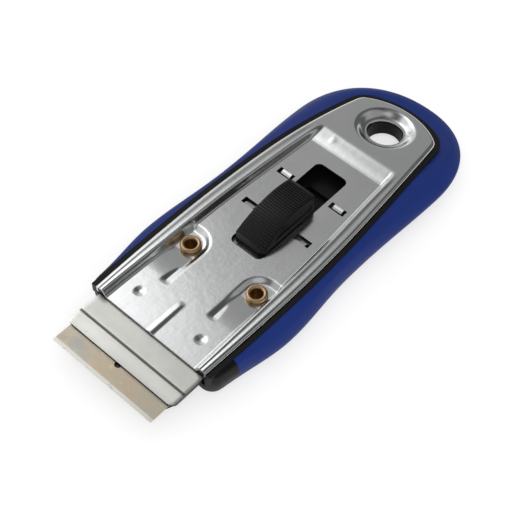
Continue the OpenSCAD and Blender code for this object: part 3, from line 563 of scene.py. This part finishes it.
def pressed_sheet():
    """The sheet as one grid that follows the outline, with its rounded flange as more rows."""
    middle, side_columns, middle_columns = 0.72, 29, 75
    row_count, past_corner, last_rows, tail_power = 260, 1.0, 3, 9
    spread = np.concatenate([np.linspace(-1, -middle, side_columns)[:-1],
                             np.linspace(-middle, middle, middle_columns)[:-1],
                             np.linspace(middle, 1, side_columns)])
    border = moved(plate_outline(row_count, 12, 3, start=0.0), -RAIL_ROUND)
    last = int(np.argmax(border[:, 1] > CORNER_Y - CORNER_SIZE + past_corner))
    border = border[:last + last_rows]
    tail_x, tail_y = border[-1]
    inset_bow = PLATE_L - RAIL_ROUND
    bow_r = (tail_x ** 2 + (inset_bow - tail_y) ** 2) / (2 * (inset_bow - tail_y))
    rows = []
    for i, (half, y) in enumerate(border):
        x = spread * half
        share = (i / (len(border) - 1)) ** tail_power  # only the last rows take the tail's bow
        arc = inset_bow - bow_r + np.sqrt(bow_r ** 2 - (spread * tail_x) ** 2)
        rows.append(np.column_stack([x, y + share * (arc - tail_y)]))
    flat = np.array(rows)
    n, m = flat.shape[:2]
    verts = np.dstack([flat, plate_height(flat[..., 0], flat[..., 1])]).reshape(-1, 3)
    faces = [(i * m + j, i * m + j + 1, (i + 1) * m + j + 1, (i + 1) * m + j)
             for i in range(n - 1) for j in range(m - 1)]
    edge = [i * m for i in range(n)] + [(n - 1) * m + j for j in range(1, m)]
    edge += [i * m + m - 1 for i in range(n - 2, -1, -1)]
    loop = verts[edge]
    along = np.gradient(loop[:, :2], axis=0)
    out = np.stack([-along[:, 1], along[:, 0]], 1)
    out /= np.linalg.norm(out, axis=1)[:, None]
    out[0], out[-1] = (-1, 0), (1, 0)
    top = rail_top(loop[:, 1])
    sink = top - loop[:, 2]
    previous = edge
    verts = list(verts)
    turns = np.radians(np.arange(75, -1, -15))
    profile = [(RAIL_ROUND * np.cos(t), 1 - np.sin(t), 0) for t in turns]
    profile += [(RAIL_ROUND - FLANGE_LEAN_MID, 1, FLANGE_MID),
                (RAIL_ROUND - FLANGE_LEAN, 1, RAIL_H + FLANGE_H - RAIL_ROUND)]
    for away, share, below in profile:
        start = len(verts)
        z = top - mix(sink, RAIL_ROUND, share) - below
        verts += list(np.column_stack([loop[:, :2] + out * away, z]))
        now = range(start, start + len(loop))
        faces += [(previous[k], previous[k + 1], now[k + 1], now[k]) for k in range(len(loop) - 1)]
        previous = now
    sheet = object_from("pressed_plate", verts, faces, crease=50)
    bm = bmesh.new()
    bm.from_mesh(sheet.data)
    bmesh.ops.recalc_face_normals(bm, faces=bm.faces)
    bm.faces.ensure_lookup_table()
    if bm.faces[(n // 2) * (m - 1) + m // 4].normal.z < 0:
        bmesh.ops.reverse_faces(bm, faces=bm.faces)
    bm.to_mesh(sheet.data)
    bm.free()
    wall = sheet.modifiers.new("wall", "SOLIDIFY")
    wall.thickness, wall.offset = SHEET * MM, -1
    wall.use_rim = True
    return sheet


def round_slot(name, x0, y0, x1, y1, r, z0, z1, steps=8):
    loop = []
    for cx, cy, start in ((x1 - r, y0 + r, -90), (x1 - r, y1 - r, 0),
                          (x0 + r, y1 - r, 90), (x0 + r, y0 + r, 180)):
        for k in range(steps + 1):
            a = math.radians(start + 90 * k / steps)
            loop.append((cx + r * math.cos(a), cy + r * math.sin(a)))
    return upright(name, loop, z0, z1)


def tongue(name, x, y, way, steps=6):
    """One bent tongue, rooted at its slit's far side."""
    bend = math.radians(TONGUE_BEND)
    loop = []
    for t in range(steps + 1):
        s = t / steps * TONGUE_L
        loop.append((y - way * (TONGUE_L - s), PAN_Z - bend * s * s / TONGUE_L))
    lower = [(a, b - SHEET) for a, b in reversed(loop)]
    root_y = y - way * (TONGUE_L + TONGUE_ROOT)
    path = [(root_y, PAN_Z - SEAT)] + [(a, b - SEAT) for a, b in loop]
    path += lower + [(root_y, PAN_Z - SHEET)]
    half = TONGUE_W / 2 - TONGUE_GAP
    return prism(name, *([(x + s * half, a, b) for a, b in path] for s in (-1, 1)))


plate = pressed_sheet()
PUNCH = 3.0
low, high = PAN_Z - PUNCH, PAN_Z + PUNCH
cutters = [round_slot("cut_slot", -SLOT_HALF, SLOT_Y, SLOT_HALF, SLOT_END, SLOT_R, low, high),
           round_bar("cut_hole", 0, HANG_Y, HANG_R + DISH_RIM / 4, 0, HIGH),
           round_bar("cut_pin_l", -RIVET_X, RIVET_Y, SHANK_R, PIN_LOW, HIGH),
           round_bar("cut_pin_r", RIVET_X, RIVET_Y, SHANK_R, PIN_LOW, HIGH)]
tongues = []
for x in (-TONGUE_X, TONGUE_X):
    for y, way in ((TONGUE_FRONT, 1), (TONGUE_REAR, -1)):
        y0, y1 = sorted((y - way * TONGUE_L, y + way * SLIT_W))
        half = TONGUE_W / 2 + SLIT_W
        cutters.append(block("cut_slit", (x - half, y0, low), (x + half, y1, high)))
        tongues.append(tongue("tongue", x, y, way))
combine(plate, cutters, crease=50)


def join(obj, others):
    bm = bmesh.new()
    for piece in [obj] + others:
        bm.from_mesh(piece.data)
    bm.to_mesh(obj.data)
    bm.free()
    for piece in others:
        bpy.data.objects.remove(piece)


join(plate, tongues)
smooth(plate, 50)

plate_finish, tree, shader, place = finish_of("plated_steel", Metallic=1.0)
orange_peel = noise(tree, place, 420.0, 3.0)
streak = noise(tree, place, 900.0, 2.0, 0.6, (1.0, 0.06, 1.0))
cloud = noise(tree, place, 60.0, 4.0)
tone = colours(tree, cloud, (0.60, 0.605, 0.61), (0.68, 0.685, 0.69))
feed(tree, shader, Base_Color=tone, Roughness=0.10 + 0.10 * cloud + 0.06 * streak,
     Normal=bump(tree, orange_peel + 0.35 * streak, 0.10, 0.0002))
dress(plate, plate_finish, "handle", ("top_plate",))


# The two plate rivets: semi-tubular brass, rolled over on top of the plate in their pockets.
# The head sits in a round recess of the grip's underside.
brass_finish, tree, shader, place = finish_of("rivet_brass", Metallic=1.0)
cloud = noise(tree, place, 700.0, 4.0)
tone = colours(tree, cloud, (0.38, 0.24, 0.12), (0.62, 0.45, 0.26))
feed(tree, shader, Base_Color=tone, Roughness=0.26 + 0.2 * cloud,
     Normal=bump(tree, cloud, 0.15, 0.0001))
dress(nodes["plate_rivets"], brass_finish)


# The blade holder: two sheets of plated steel joined by small rivets behind the blade. The upper
# one has a groove pressed across it and a lip that hangs over the blade.
BLADE_Z, CAP_T, BACK_T, BACK_PLAY, HOLDER_HALF = 8.6, 0.6, 1.0, 0.04, 20.8
LIP_Y, STEP_Y, BACK_Y, WIDE_Y, LIP_R, BEND_L = -12.3, -7.2, -0.1, 4.8, 1.8, 1.7
CAP_Z = BLADE_Z + BACK_T / 2 + BACK_PLAY + CAP_T
FOOT_Z = BLADE_Z - BACK_T / 2 - BACK_PLAY + SEAT + CAP_T
LIP_FALL, FALL_START, STEP_D, STEP_W, LOWEST = 0.2, STEP_Y + 0.4, 0.2, 0.28, 0.32
# Painted shade along the groove: full up to the first width, gone at the second
GROOVE_SHADE_W, GROOVE_SHADE_END = 0.2, 0.55


def round_edges(obj, width, segments, angle):
    edge = obj.modifiers.new("edge", "BEVEL")
    edge.width, edge.segments = width * MM, segments
    edge.limit_method, edge.angle_limit = "ANGLE", math.radians(angle)


def strip_sheet(name, path, thickness, half, corner, columns=40):
    """A sheet bent along Y: its upper face follows the path, its front corners are round."""
    path = np.array(path, float)
    front = path[0, 0]
    us = np.linspace(-1, 1, columns + 1)
    verts, faces = [], []
    for lower in (0, 1):
        for y, z in path:
            reach = max(0.0, corner - (y - front))
            inset = corner - math.sqrt(max(0.0, corner ** 2 - reach ** 2))
            verts += [(u * (half - inset), y, z - lower * thickness) for u in us]
    n, m = len(path), columns + 1
    size = n * m
    for i in range(n - 1):
        for j in range(m - 1):
            a, b, c, d = i * m + j, i * m + j + 1, (i + 1) * m + j + 1, (i + 1) * m + j
            faces += [(a, b, c, d), (size + d, size + c, size + b, size + a)]
    border = list(range(m)) + [i * m + m - 1 for i in range(1, n)]
    border += [(n - 1) * m + j for j in range(m - 2, -1, -1)] + [i * m for i in range(n - 2, 0, -1)]
    for k, a in enumerate(border):
        b = border[(k + 1) % len(border)]
        faces.append((a, size + a, size + b, b))
    sheet = object_from(name, verts, faces, crease=30)
    facing_out(sheet)
    round_edges(sheet, 0.12, 2, 50)
    settle(sheet)
    smooth(sheet, 30)
    return sheet


def lip_z(y):
    """Upper face of the cap: the lip falls a little to the front, and a soft groove crosses it."""
    fall = LIP_FALL * ease((FALL_START - y) / (FALL_START - LIP_Y))
    groove = STEP_D * np.exp(-((y - STEP_Y) / STEP_W) ** 2)
    return CAP_Z - np.minimum(fall + groove, LOWEST)


# Rows of the sheet: close together round the lip's corners and in the groove
FINE, COARSE = 0.9, 1.2
ys = np.concatenate([LIP_Y + LIP_R * (1 - np.cos(np.linspace(0, np.pi / 2, 9))),
                     np.linspace(LIP_Y + LIP_R + 0.3, STEP_Y - COARSE, 5),
                     np.linspace(STEP_Y - FINE, STEP_Y + FINE, 13),
                     np.linspace(STEP_Y + COARSE, BACK_Y + 0.4, 6)])
path = [(y, float(lip_z(y))) for y in ys] + [(BACK_Y + BEND_L, FOOT_Z), (WIDE_Y, FOOT_Z)]
cap = strip_sheet("holder_lip", path, CAP_T, HOLDER_HALF, LIP_R)
holder_finish, tree, shader, place = finish_of("holder_steel", Metallic=1.0)
brushed = noise(tree, place, 700.0, 3.0, 0.6, (0.05, 1.0, 1.0))
cloud = noise(tree, place, 130.0, 5.0, 0.6)
stain = noise(tree, place, 260.0, 4.0, 0.7)
tone = colours(tree, cloud, (0.53, 0.53, 0.505), (0.72, 0.72, 0.68))
tone = colours(tree, (stain > 0.66) * 0.35, tone, (0.42, 0.41, 0.38))
# Painted shade: a dark band along the pressed groove stands in for the shade in its crease.
y = part_of(tree, place, 1)
away = node(tree, "ShaderNodeMath", {"operation": "ABSOLUTE"}, {0: y - (STEP_Y - ORIGIN_Y) * MM})
groove_shade = ramp(tree, away, GROOVE_SHADE_W * MM, GROOVE_SHADE_END * MM, 0.9, 0.0)
tone = colours(tree, groove_shade, tone, (0.16, 0.15, 0.13))
# Painted shade: faces that turn away from up, the sheets' sides, are painted near black.
upward = part_of(tree, node(tree, "ShaderNodeNewGeometry", out=1), 2)
side_shade = ramp(tree, upward, 0.15, 0.55, 1.0, 0.0)
tone = colours(tree, side_shade, tone, (0.07, 0.07, 0.065))
feed(tree, shader, Base_Color=tone, Roughness=0.30 + 0.12 * brushed,
     Normal=bump(tree, brushed, 0.12, 0.0001))
dress(cap, holder_finish, "carriage", ("holder_cap",))
# The lower sheet's steel is painted near black: painted shade under the upper sheet and between the
# two sheets.
base_shade_finish, tree, shader, place = finish_of("base_steel_painted_shade", Metallic=1.0)
cloud = noise(tree, place, 200.0, 4.0)
feed(tree, shader, Base_Color=colours(tree, cloud, (0.05, 0.05, 0.05), (0.12, 0.12, 0.12)),
     Roughness=0.35 + 0.15 * cloud)
# The lower sheet reaches just past the upper one, so its painted shade closes the view through the
# blade's hole.
# Its front edge is all that lies within FRONT_BAND of its frontmost point.
BASE_REACH, FRONT_BAND = 2.4, 0.05


def merged_copy(name, source, within=1e-6):
    """A copy of a CAD node's mesh whose corners are joined where they meet."""
    copy = bpy.data.objects.new(name, nodes[source].data.copy())
    bpy.context.scene.collection.objects.link(copy)
    bm = bmesh.new()
    bm.from_mesh(copy.data)
    bmesh.ops.remove_doubles(bm, verts=bm.verts, dist=within)
    bm.to_mesh(copy.data)
    bm.free()
    smooth(copy)
    return copy


base = merged_copy("holder_floor", "holder_base")
front_y = min(vertex.co.y for vertex in base.data.vertices)
for vertex in base.data.vertices:
    if vertex.co.y < front_y + FRONT_BAND * MM:
        vertex.co.y -= BASE_REACH * MM
smooth(base)
dress(base, base_shade_finish, "carriage", ("holder_base",))
dress(nodes["holder_rivets"], holder_finish)


# The blade: a single-edge razor blade of thin hard steel, oiled, with a ground edge and a hole in
# the middle, and its folded steel back.
EDGE_Y, BEVEL_W, BEVEL_FADE = -19.1, 1.1, 0.25
blade_finish, tree, shader, place = finish_of("oiled_blade_steel", Metallic=1.0)
bevel_y = EDGE_Y - ORIGIN_Y + BEVEL_W
ground = ramp(tree, part_of(tree, place, 1), bevel_y * MM, (bevel_y + BEVEL_FADE) * MM, 1.0, 0.0)
brushed = noise(tree, place, 1500.0, 2.0, 0.6, (0.04, 1.0, 1.0))
stain = noise(tree, place, 70.0, 5.0, 0.7)
warm = ramp(tree, stain, 0.38, 0.60, 0.0, 1.0)
tone = colours(tree, warm, (0.46, 0.445, 0.38), (0.515, 0.415, 0.305))
cold = ramp(tree, noise(tree, place, 120.0, 4.0, 0.6), 0.56, 0.70, 0.0, 0.6)
tone = colours(tree, cold, tone, (0.35, 0.37, 0.38))
spots = noise(tree, place, 620.0, 3.0, 0.6)
tone = colours(tree, (spots > 0.64) * 0.4, tone, (0.66, 0.62, 0.52))
tone = colours(tree, ground, tone, (0.50, 0.49, 0.44))
edge_spots = noise(tree, place, 420.0, 4.0, 0.7)
tone = colours(tree, ground * (edge_spots > 0.60) * 0.5, tone, (0.30, 0.30, 0.29))
feed(tree, shader, Base_Color=tone, Roughness=0.30 + 0.15 * brushed - 0.08 * ground,
     Normal=bump(tree, brushed, 0.15, 0.00006))
dress(nodes["blade"], blade_finish)
back_finish, tree, shader, place = finish_of("folded_back_steel", Metallic=1.0, Roughness=0.45)
cloud = noise(tree, place, 300.0, 3.0)
feed(tree, shader, Base_Color=colours(tree, cloud, (0.24, 0.24, 0.25), (0.34, 0.34, 0.35)))
dress(nodes["blade_back"], back_finish)


# The thumb button: black moulded plastic, humped, with fine ribs across its back, a framed panel in
# each side and a block that passes through the slot.
BUTTON_R, BUTTON_TOP_Y, BUTTON_H, BUTTON_END = 24.4, 57.2, 7.25, 65.1
BUTTON_HALF, BUTTON_TOP_HALF, RIB_COUNT, RIB_D = 5.85, 5.2, 26, 0.42
BUTTON_FRONT, BLOCK_END, REST_Z, LATCH_Z = 40.4, 59.7, 12.2, 9.51
STEM_R, STEM_FOOT = 2.4, 5.2
END_LEAN, END_CUT, FRAME, PANEL_IN, PANEL_OUT, PANEL_EDGE = 0.7, 1.4, 1.1, 0.3, 9, 0.9
BAR_R, BAR_SINK, BAR_INSET, SIDE_GAP = 0.27, 0.30, 0.42, 0.01
BROW_IN, BROW_DOWN, CHIN_DOWN = 0.35, 0.3, 0.2
MID_Z = PAN_Z + BUTTON_H - BUTTON_R


def crest(turn, depth=0.0):
    """A point of the hump's round back, or of a line under it."""
    r = BUTTON_R - depth
    return (BUTTON_TOP_Y + r * math.sin(turn), MID_Z + r * math.cos(turn))


def half_at(z):
    """Half width of the button: straight up to the plate, then tapered to the top."""
    t = (z - PAN_Z - FRAME) / (BUTTON_H - FRAME)
    return mix(BUTTON_HALF, BUTTON_TOP_HALF, min(1, max(0, t)))


CREST_REAR = math.asin((BUTTON_END - BUTTON_TOP_Y) / BUTTON_R)
RIB_FRONT = math.radians(-39.6)
BROW_Y, BROW_Z = crest(RIB_FRONT)
RECESS = np.linspace(CREST_REAR - 0.02, RIB_FRONT + 0.01, 40)
FIRST_BAR, LAST_BAR = RIB_FRONT + 0.02, CREST_REAR - 0.035
loop = [(BUTTON_FRONT, LATCH_Z), (BLOCK_END, LATCH_Z), (BLOCK_END, REST_Z),
        (BUTTON_END - END_LEAN, REST_Z), crest(CREST_REAR)]
loop += [crest(t, RIB_D) for t in RECESS]
loop += [(BROW_Y - BROW_IN, BROW_Z - BROW_DOWN), (BUTTON_FRONT, REST_Z - CHIN_DOWN)]
button = prism("thumb_slide", *([(side * (half_at(z) - SIDE_GAP), y, z) for y, z in loop]
                                for side in (-1, 1)))


def panel_cutter(name, side):
    """The bow-shaped panel that is sunk into each side."""
    depth, base = (1 + PANEL_EDGE) * FRAME, REST_Z + PANEL_EDGE * FRAME
    r = BUTTON_R - depth
    turns = np.linspace(-math.acos((base - MID_Z) / r),
                        math.asin((BUTTON_END - END_CUT - FRAME - BUTTON_TOP_Y) / r), 24)
    loop = [crest(t, depth) for t in turns]
    loop.append((loop[-1][0], base))
    return prism(name, [(side * (half_at(z) - PANEL_IN), y, z) for y, z in loop],
                 [(side * PANEL_OUT, y, z) for y, z in loop])


def corner_cutter(x, y, z0, z1):
    loop = [(x + END_CUT, y), (x, y + END_CUT), (x - END_CUT, y), (x, y - END_CUT)]
    return upright("cut_corner", loop, z0, z1)


cutters = [panel_cutter("cut_panel", side) for side in (-1, 1)]
for x in (-BUTTON_HALF, BUTTON_HALF):
    cutters += [corner_cutter(x, BUTTON_FRONT, LATCH_Z - 1, REST_Z + 1),
                corner_cutter(x, BLOCK_END, LATCH_Z - 1, REST_Z),
                corner_cutter(x, BUTTON_END, REST_Z - 0.5, HIGH)]
combine(button, cutters)
round_edges(button, 0.25, 3, 35)
combine(button, [round_bar("stem", 0, STEM_Y, STEM_R, STEM_FOOT, LATCH_Z + 1, 48)], "UNION")

# Ribs: one round bar, repeated round the hump and shortened to its taper
ribs = bpy.data.objects.new("ribs", bpy.data.meshes.new("ribs"))
bpy.context.scene.collection.objects.link(ribs)
tree = bpy.data.node_groups.new("rib_row", "GeometryNodeTree")
tree.interface.new_socket("Geometry", in_out="OUTPUT", socket_type="NodeSocketGeometry")
inputs = {"Count": ("NodeSocketInt", RIB_COUNT),
          "Radius": ("NodeSocketFloat", (BUTTON_R - BAR_SINK) * MM),
          "First": ("NodeSocketFloat", FIRST_BAR),
          "Last": ("NodeSocketFloat", LAST_BAR),
          "Bar": ("NodeSocketFloat", BAR_R * MM),
          "Half": ("NodeSocketFloat", (BUTTON_TOP_HALF - BAR_INSET) * MM),
          "Taper": ("NodeSocketFloat", (BUTTON_HALF - BUTTON_TOP_HALF) / (BUTTON_H - FRAME))}
ids = {}
for key, (kind, value) in inputs.items():
    ids[key] = tree.interface.new_socket(key, in_out="INPUT", socket_type=kind).identifier
entry, leave = tree.nodes.new("NodeGroupInput"), tree.nodes.new("NodeGroupOutput")
given = {key: Wire(tree, entry.outputs[key]) for key in inputs}
index = node(tree, "GeometryNodeInputIndex")
turn = given["First"] + index * (given["Last"] - given["First"]) / (given["Count"] - 1)
sine = node(tree, "ShaderNodeMath", {"operation": "SINE"}, {0: turn})
cosine = node(tree, "ShaderNodeMath", {"operation": "COSINE"}, {0: turn})
spot = node(tree, "ShaderNodeCombineXYZ", None,
            {1: sine * given["Radius"], 2: cosine * given["Radius"]})
points = node(tree, "GeometryNodePoints", None, {"Count": given["Count"], "Position": spot})
bar = node(tree, "GeometryNodeMeshCylinder", None,
           {"Vertices": 10, "Radius": given["Bar"], "Depth": 2 * given["Half"]})
turned = node(tree, "GeometryNodeTransform", None, {0: bar, "Rotation": (0, math.pi / 2, 0)})
fall = given["Radius"] - cosine * given["Radius"]
length = 1 + fall * given["Taper"] / given["Half"]
grown = node(tree, "ShaderNodeCombineXYZ", None, {0: length, 1: 1.0, 2: 1.0})
placed = node(tree, "GeometryNodeInstanceOnPoints", None,
              {"Points": points, "Instance": turned, "Scale": grown})
real = node(tree, "GeometryNodeRealizeInstances", None, {0: placed})
painted = node(tree, "GeometryNodeSetMaterial", None, {0: real})
tree.links.new(painted.socket, leave.inputs[0])

button_finish, paint, shader, place = finish_of("black_button_plastic", Specular_IOR_Level=0.30)
grain = noise(paint, place, 2200.0, 3.0)
cloud = noise(paint, place, 160.0, 3.0)
tone = colours(paint, cloud, (0.0015, 0.0015, 0.0015), (0.003, 0.003, 0.003))
feed(paint, shader, Base_Color=tone,
     Roughness=0.26 + 0.12 * cloud, Normal=bump(paint, grain, 0.10, 0.0001))
painted.socket.node.inputs["Material"].default_value = button_finish
row = ribs.modifiers.new("row", "NODES")
row.node_group = tree
for key, (kind, value) in inputs.items():
    row[ids[key]] = value
settle(ribs)
ribs.data.transform(Matrix.Translation((0, (BUTTON_TOP_Y - ORIGIN_Y) * MM, MID_Z * MM)))
join(button, [ribs])
smooth(button, 35)
dress(button, button_finish, "button", ("thumb_button",))


# Spring steel pieces under the plate: the latch plate with its wings, the bowed leaf that lifts it,
# and the push-on clip that keeps the stem in the tang.
spring_finish, tree, shader, place = finish_of("oiled_spring_steel", Metallic=1.0)
cloud = noise(tree, place, 240.0, 4.0)
feed(tree, shader, Base_Color=colours(tree, cloud, (0.22, 0.22, 0.23), (0.42, 0.42, 0.43)),
     Roughness=0.42 + 0.15 * cloud)
for name in ("latch_plate", "stem_clip"):
    dress(nodes[name], spring_finish)
# In the real scraper the leaf flattens onto the tang as the button goes down; this copy keeps its
# bowed shape.
leaf = merged_copy("bowed_leaf", "leaf_spring")
dress(leaf, spring_finish, "carriage", ("leaf_spring",))
low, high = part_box("leaf_spring")
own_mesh(leaf)


# Floor: a plain white table top that runs out of the picture. It keeps the object's shadow.
FLOOR_SIZE, FLOOR_DROP, FLOOR_GREY, GROUND_WHITE, GROUND_SHINE = 3.0, 0.0002, 0.86, 0.6, 0.1
floor = bpy.data.objects.new("floor", bpy.data.meshes.new("floor"))
half = FLOOR_SIZE / 2
corners = [(-half, -half, 0), (half, -half, 0), (half, half, 0), (-half, half, 0)]
floor.data.from_pydata(corners, [], [(0, 1, 2, 3)])
bpy.context.scene.collection.objects.link(floor)
floor.location.z = -FLOOR_DROP
floor_finish, tree, shader, place = finish_of("white_table", Roughness=0.9, Specular_IOR_Level=0.0)
shader.inputs["Base Color"].default_value = (FLOOR_GREY, FLOOR_GREY, FLOOR_GREY, 1)
rays = tree.nodes.new("ShaderNodeLightPath")
seen = Wire(tree, rays.outputs["Is Camera Ray"]) * GROUND_WHITE
seen = seen + Wire(tree, rays.outputs["Is Glossy Ray"]) * GROUND_SHINE
white = node(tree, "ShaderNodeEmission", None, {"Color": (1, 1, 1, 1), "Strength": 1.0})
both = node(tree, "ShaderNodeMixShader", None,
            {0: seen, 1: Wire(tree, shader.outputs[0]), 2: white})
tree.links.new(both.socket, tree.nodes["Material Output"].inputs["Surface"])
dress(floor, floor_finish)

# Light: a soft box in front on the right, a wider and weaker one high above on the left, and a
# white room. The steel mirrors a room of its own, with one large bright panel.
KEY_POWER, FILL_POWER, ROOM_LEVEL, DARK_LEVEL, PANEL_LIMIT = 3.0, 0.7, 0.90, 0.06, 2.2


def soft_box(name, place, size, power):
    lamp = bpy.data.lights.new(name, "AREA")
    lamp.shape, lamp.size, lamp.size_y, lamp.energy = "RECTANGLE", size[0], size[1], power
    box = bpy.data.objects.new(name, lamp)
    bpy.context.scene.collection.objects.link(box)
    box.location = place
    box.rotation_euler = (-Vector(place)).to_track_quat("-Z", "Y").to_euler()
    box.visible_glossy = False


soft_box("key_light", (0.34, -0.35, 0.70), (0.40, 0.40), KEY_POWER)
soft_box("fill_light", (-0.12, 0.05, 0.85), (0.7, 0.7), FILL_POWER)

world = bpy.data.worlds.new("room")
bpy.context.scene.world = world
world.use_nodes = True
tree = world.node_tree
tree.nodes.clear()
way = node(tree, "ShaderNodeTexCoord", out=0)
wx, wy, wz = (part_of(tree, way, axis) for axis in range(3))


def step(wire, start, end, first, last):
    """A smooth change between two levels."""
    return ramp(tree, wire, start, end, first, last, "SMOOTHSTEP")


# What the steel mirrors, by the direction it mirrors to: x right, y to the tail, z up. The photo's
# view meets a bright panel up on the left here
edge = step(wx, -0.52, -0.33, 1.0, 0.30) * step(wx, -0.33, -0.15, 1.0, 0.0)
panel = edge * step(wx, -0.98, -0.72, 0.40, 1.0)
near = panel * step(wy, 0.31, 0.335, 1.5, 3.3) * step(wy, 0.345, 0.39, 1.0, 0.26)
near = near + panel * step(wy, 0.12, 0.27, 1.2, 0.0)
near = node(tree, "ShaderNodeMath", {"operation": "MINIMUM"}, {0: near, 1: PANEL_LIMIT})
near = near * step(wy, -0.25, 0.05, 0.42, 1.0)
# A dim part further to the tail, and the dark rest of the room
far = 0.38 * step(wx, -0.36, -0.15, 1.0, 0.2) + 0.5 * step(wx, -0.64, -0.50, 1.0, 0.0)
far = far * step(wy, 0.45, 0.56, 1.0, 0.86)
share = step(wy, 0.405, 0.45, 1.0, 0.0)
glow = DARK_LEVEL + share * near + (1 - share) * far
# Soft grey on the right, overhead and in front, for the views from other sides
glow = glow + step(wx, 0.25, 0.6, 0.0, 0.30) * step(wz, 0.30, 0.45, 0.0, 1.0)
glow = glow + step(wz, 0.93, 0.985, 0.0, 0.20)
ahead = step(wy, -0.30, -0.05, 1.0, 0.0) * step(wx, -0.32, -0.12, 0.0, 1.0)
glow = glow * (1 - ahead) + ahead * step(wx, 0.0, 0.3, 0.16, 0.62)
rays = tree.nodes.new("ShaderNodeLightPath")
camera_ray = Wire(tree, rays.outputs["Is Camera Ray"])
glossy_ray = Wire(tree, rays.outputs["Is Glossy Ray"])
strength = glossy_ray * glow + (1 - glossy_ray) * ROOM_LEVEL
strength = camera_ray + (1 - camera_ray) * strength
back = node(tree, "ShaderNodeBackground", None, {"Color": (1, 1, 1, 1), "Strength": strength})
end = tree.nodes.new("ShaderNodeOutputWorld")
tree.links.new(back.socket, end.inputs["Surface"])

scene = bpy.context.scene
scene.view_settings.view_transform = "Standard"
